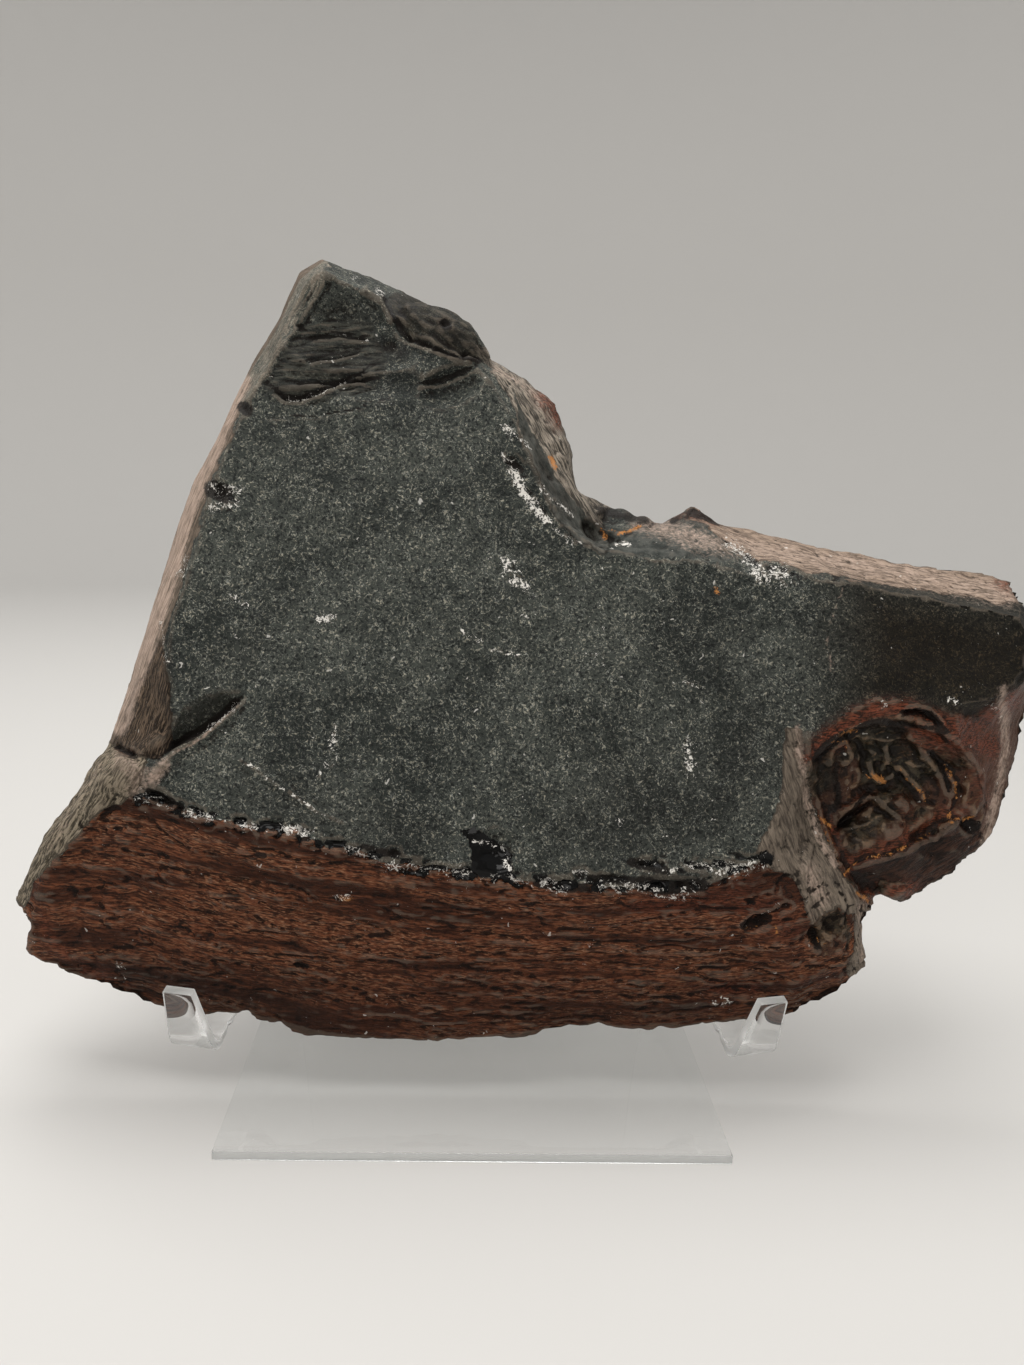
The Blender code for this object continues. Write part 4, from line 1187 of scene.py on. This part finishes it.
def makeStand():
    shape = standShape
    half = shape["sheet"] / 2
    middle = shape["baseDepth"] / 2
    inside, width, low = shape["hookInner"], shape["hookWidth"], shape["hookLow"]
    foot = backDepthAt(low) + middle + half + shape["gap"]
    top = backDepthAt(shape["ridge"]) + middle + half + shape["gap"]
    path = roundedPath([
        (shape["hookFront"], shape["hookTip"], 0), (shape["hookBend"], low, shape["hookRadius"]),
        (foot, low, shape["hookRadius"]), (top, shape["ridge"], shape["bendRadius"]),
        (shape["baseDepth"] - half, half, shape["bendRadius"]), (0, half, 0),
    ], shape["bendSteps"])
    flare = math.tan(math.radians(shape["hookFlare"]))
    bm = bmesh.new()
    rows = []
    passedRidge = False
    for y, z in splitRuns(path, shape["longestRun"]):
        passedRidge = passedRidge or y > top - 2
        inHook = y < foot - 2 and not passedRidge
        turned = 0.0
        if passedRidge:
            inner, outer = 0.0, shape["baseWidth"] / 2
        elif inHook:
            rise = max(0.0, (z - shape["hookStart"]) / (shape["hookTip"] - shape["hookStart"]))
            narrow = (width - shape["hookTipWidth"]) * rise
            inner = inside + shape["hookLean"] * rise + narrow * 0.3
            outer = inside + width + 1.2 * rise - narrow * 0.4
            turned = max(0.0, min(1.0, (foot - 3 - y) / 6))
        else:
            rise = max(0.0, (z - low) / (shape["arch"] - low))
            inner = inside * max(0.0, 1 - rise) ** 0.55
            outer = inside + width + (shape["baseWidth"] / 2 - inside - width) * min(1.0, rise)
        row = []
        for x in (inner, outer):
            shift = (x - inside - width / 2) * flare * turned
            row.append(bm.verts.new(Vector((x, y + shift - middle, z)) * mm))
        rows.append(row)
    for near, far in zip(rows, rows[1:]):
        bm.faces.new((near[0], near[1], far[1], far[0]))
    stand = meshObject("clearStand", bm)
    stand.modifiers.new("mirror", "MIRROR").merge_threshold = 0.05 * mm
    solidify = stand.modifiers.new("thickness", "SOLIDIFY")
    solidify.thickness = shape["sheet"] * mm
    solidify.offset = 0
    solidify.use_even_offset = True
    bevel = stand.modifiers.new("edge", "BEVEL")
    bevel.width = shape["edge"] * mm
    bevel.segments = 2
    bevel.limit_method = "ANGLE"
    bevel.angle_limit = math.radians(50)
    mesh = applyModifiers(stand)
    mesh.shade_smooth()
    mesh.set_sharp_from_angle(angle=math.radians(30))
    cuts = mesh.attributes.new("cutEdge", "FLOAT", "FACE")    # the sawn edges are duller
    for face in mesh.polygons:
        sideways = abs(face.normal.x) > 0.6
        tip = face.normal.z > 0.7 and 0.035 < face.center.z < 0.04
        front = face.normal.y < -0.9 and face.center.y < 0.0005 - middle * mm
        cuts.data[face.index].value = 1.0 if sideways or tip or front else 0.0
    print("stand bent,", len(mesh.polygons), "faces")
    return stand


def makeAcrylic():
    material, tree, shader = newMaterial("clearAcrylic")
    shader.inputs["Base Color"].default_value = rgb(1, 1, 1)
    shader.inputs["Transmission Weight"].default_value = 1.0
    shader.inputs["IOR"].default_value = acrylic["IOR"]
    place = placeInMm(tree)
    sizes = {"Spacing": acrylic["dustSpacing"], "Amount": acrylic["dustAmount"]}
    dust = groupNode(tree, specks, Place=place, **sizes)["Mask"]
    sizes = {"Length": acrylic["scuffLength"], "Amount": acrylic["scuffAmount"]}
    scuffs = groupNode(tree, fineHairs, Place=place, **sizes)["Mask"]
    marks = plus(tree, times(tree, dust, acrylic["dust"]), times(tree, scuffs, acrylic["scuffs"]))
    marks = plus(tree, marks, times(tree, stored(tree, "cutEdge"), acrylic["sawnEdge"]))
    feed(tree, shader.inputs["Roughness"], plus(tree, marks, acrylic["polish"]))
    wave = noise(tree, place, acrylic["waveScale"], 2)
    addBump(tree, shader, wave, acrylic["waveStrength"], acrylic["waveDepth"])
    output = tree.nodes["Material Output"]
    lightPath = newNode(tree, "ShaderNodeLightPath").outputs
    through = newNode(tree, "ShaderNodeBsdfTransparent", {"Color": acrylic["through"]})
    lateRay = calculate(tree, "GREATER_THAN", lightPath["Ray Depth"], acrylic["deepest"])    # lets trapped light out
    softRay = larger(tree, lightPath["Is Shadow Ray"], lightPath["Is Diffuse Ray"])
    inputs = {"Fac": larger(tree, softRay, lateRay), 1: shader.outputs["BSDF"], 2: through.outputs["BSDF"]}
    feed(tree, output.inputs["Surface"], newNode(tree, "ShaderNodeMixShader", inputs).outputs["Shader"])
    inputs = {"Color": acrylic["tint"], "Density": acrylic["density"]}
    feed(tree, output.inputs["Volume"], newNode(tree, "ShaderNodeVolumeAbsorption", inputs).outputs["Volume"])
    return material


stand = makeStand()
stand.data.materials.append(makeAcrylic())
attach(stand, "root")
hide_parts("acrylic_stand")
print("stand ready")


# floor, light

studio = {
    "floor": rgb(0.60, 0.59, 0.575), "floorGrain": rgb(0.6, 0.6, 0.6), "floorRough": 0.85,
    "radius": 1.7, "sweep": 0.5, "wallHeight": 1.6, "gap": 0.0002,    # m
    "sides": 96, "sweepSteps": 12,
    "sky": rgb(1.0, 0.99, 0.97), "skyStrength": 0.55,
    # lights: place, aimed at, size in m, power in W, colour
    "softTop": ((-0.10, 0.02, 1.25), (0, 0.0, 0.08), (1.1, 0.8), 15, (1.0, 0.985, 0.96)),
    "frontFill": ((-0.45, -1.25, 0.85), (0, 0, 0.12), (0.9, 0.7), 6, (1.0, 0.98, 0.95)),
}


def makeFloor():
    bm = bmesh.new()
    flat = studio["radius"] - studio["sweep"]
    profile = [(flat * part, -studio["gap"]) for part in (0.25, 0.5, 0.75, 1.0)]
    for step in range(1, studio["sweepSteps"] + 1):
        angle = math.radians(90 * step / studio["sweepSteps"])
        profile.append((flat + math.sin(angle) * studio["sweep"], studio["sweep"] * (1 - math.cos(angle))))
    profile.append((studio["radius"], studio["wallHeight"]))
    sides = studio["sides"]
    turns = [2 * math.pi * side / sides for side in range(sides)]
    rings = [[bm.verts.new((r * math.cos(turn), r * math.sin(turn), z)) for turn in turns] for r, z in profile]
    bm.faces.new(rings[0])
    for near, far in zip(rings, rings[1:]):
        for side in range(sides):
            bm.faces.new((near[side], far[side], far[(side + 1) % sides], near[(side + 1) % sides]))
    floor = meshObject("floor", bm)
    floor.data.shade_smooth()
    material, tree, shader = newMaterial("palePaper")
    fine = noise(tree, newNode(tree, "ShaderNodeTexCoord").outputs["Object"], 900, 3, 0.6)
    color = mixColor(tree, ramp(tree, fine, 0.3, 0.7, 0.0, 0.04), studio["floor"], studio["floorGrain"])
    feed(tree, shader.inputs["Base Color"], color)
    shader.inputs["Roughness"].default_value = studio["floorRough"]
    floor.data.materials.append(material)


def makeLight(name):
    place, target, size, power, color = studio[name]
    data = bpy.data.lights.new(name, "AREA")
    data.shape = "RECTANGLE"
    data.size, data.size_y = size
    data.energy = power
    data.color = color
    light = addToScene(name, data)
    light.location = place
    light.rotation_euler = (Vector(target) - Vector(place)).to_track_quat("-Z", "Y").to_euler()


def makeSky():
    world = bpy.data.worlds.new("softSky")
    world.use_nodes = True
    background = world.node_tree.nodes["Background"]
    background.inputs["Color"].default_value = studio["sky"]
    background.inputs["Strength"].default_value = studio["skyStrength"]
    bpy.context.scene.world = world


makeFloor()
makeSky()
makeLight("softTop")
makeLight("frontFill")
bpy.context.scene.view_settings.view_transform = "Standard"
print("studio lit")
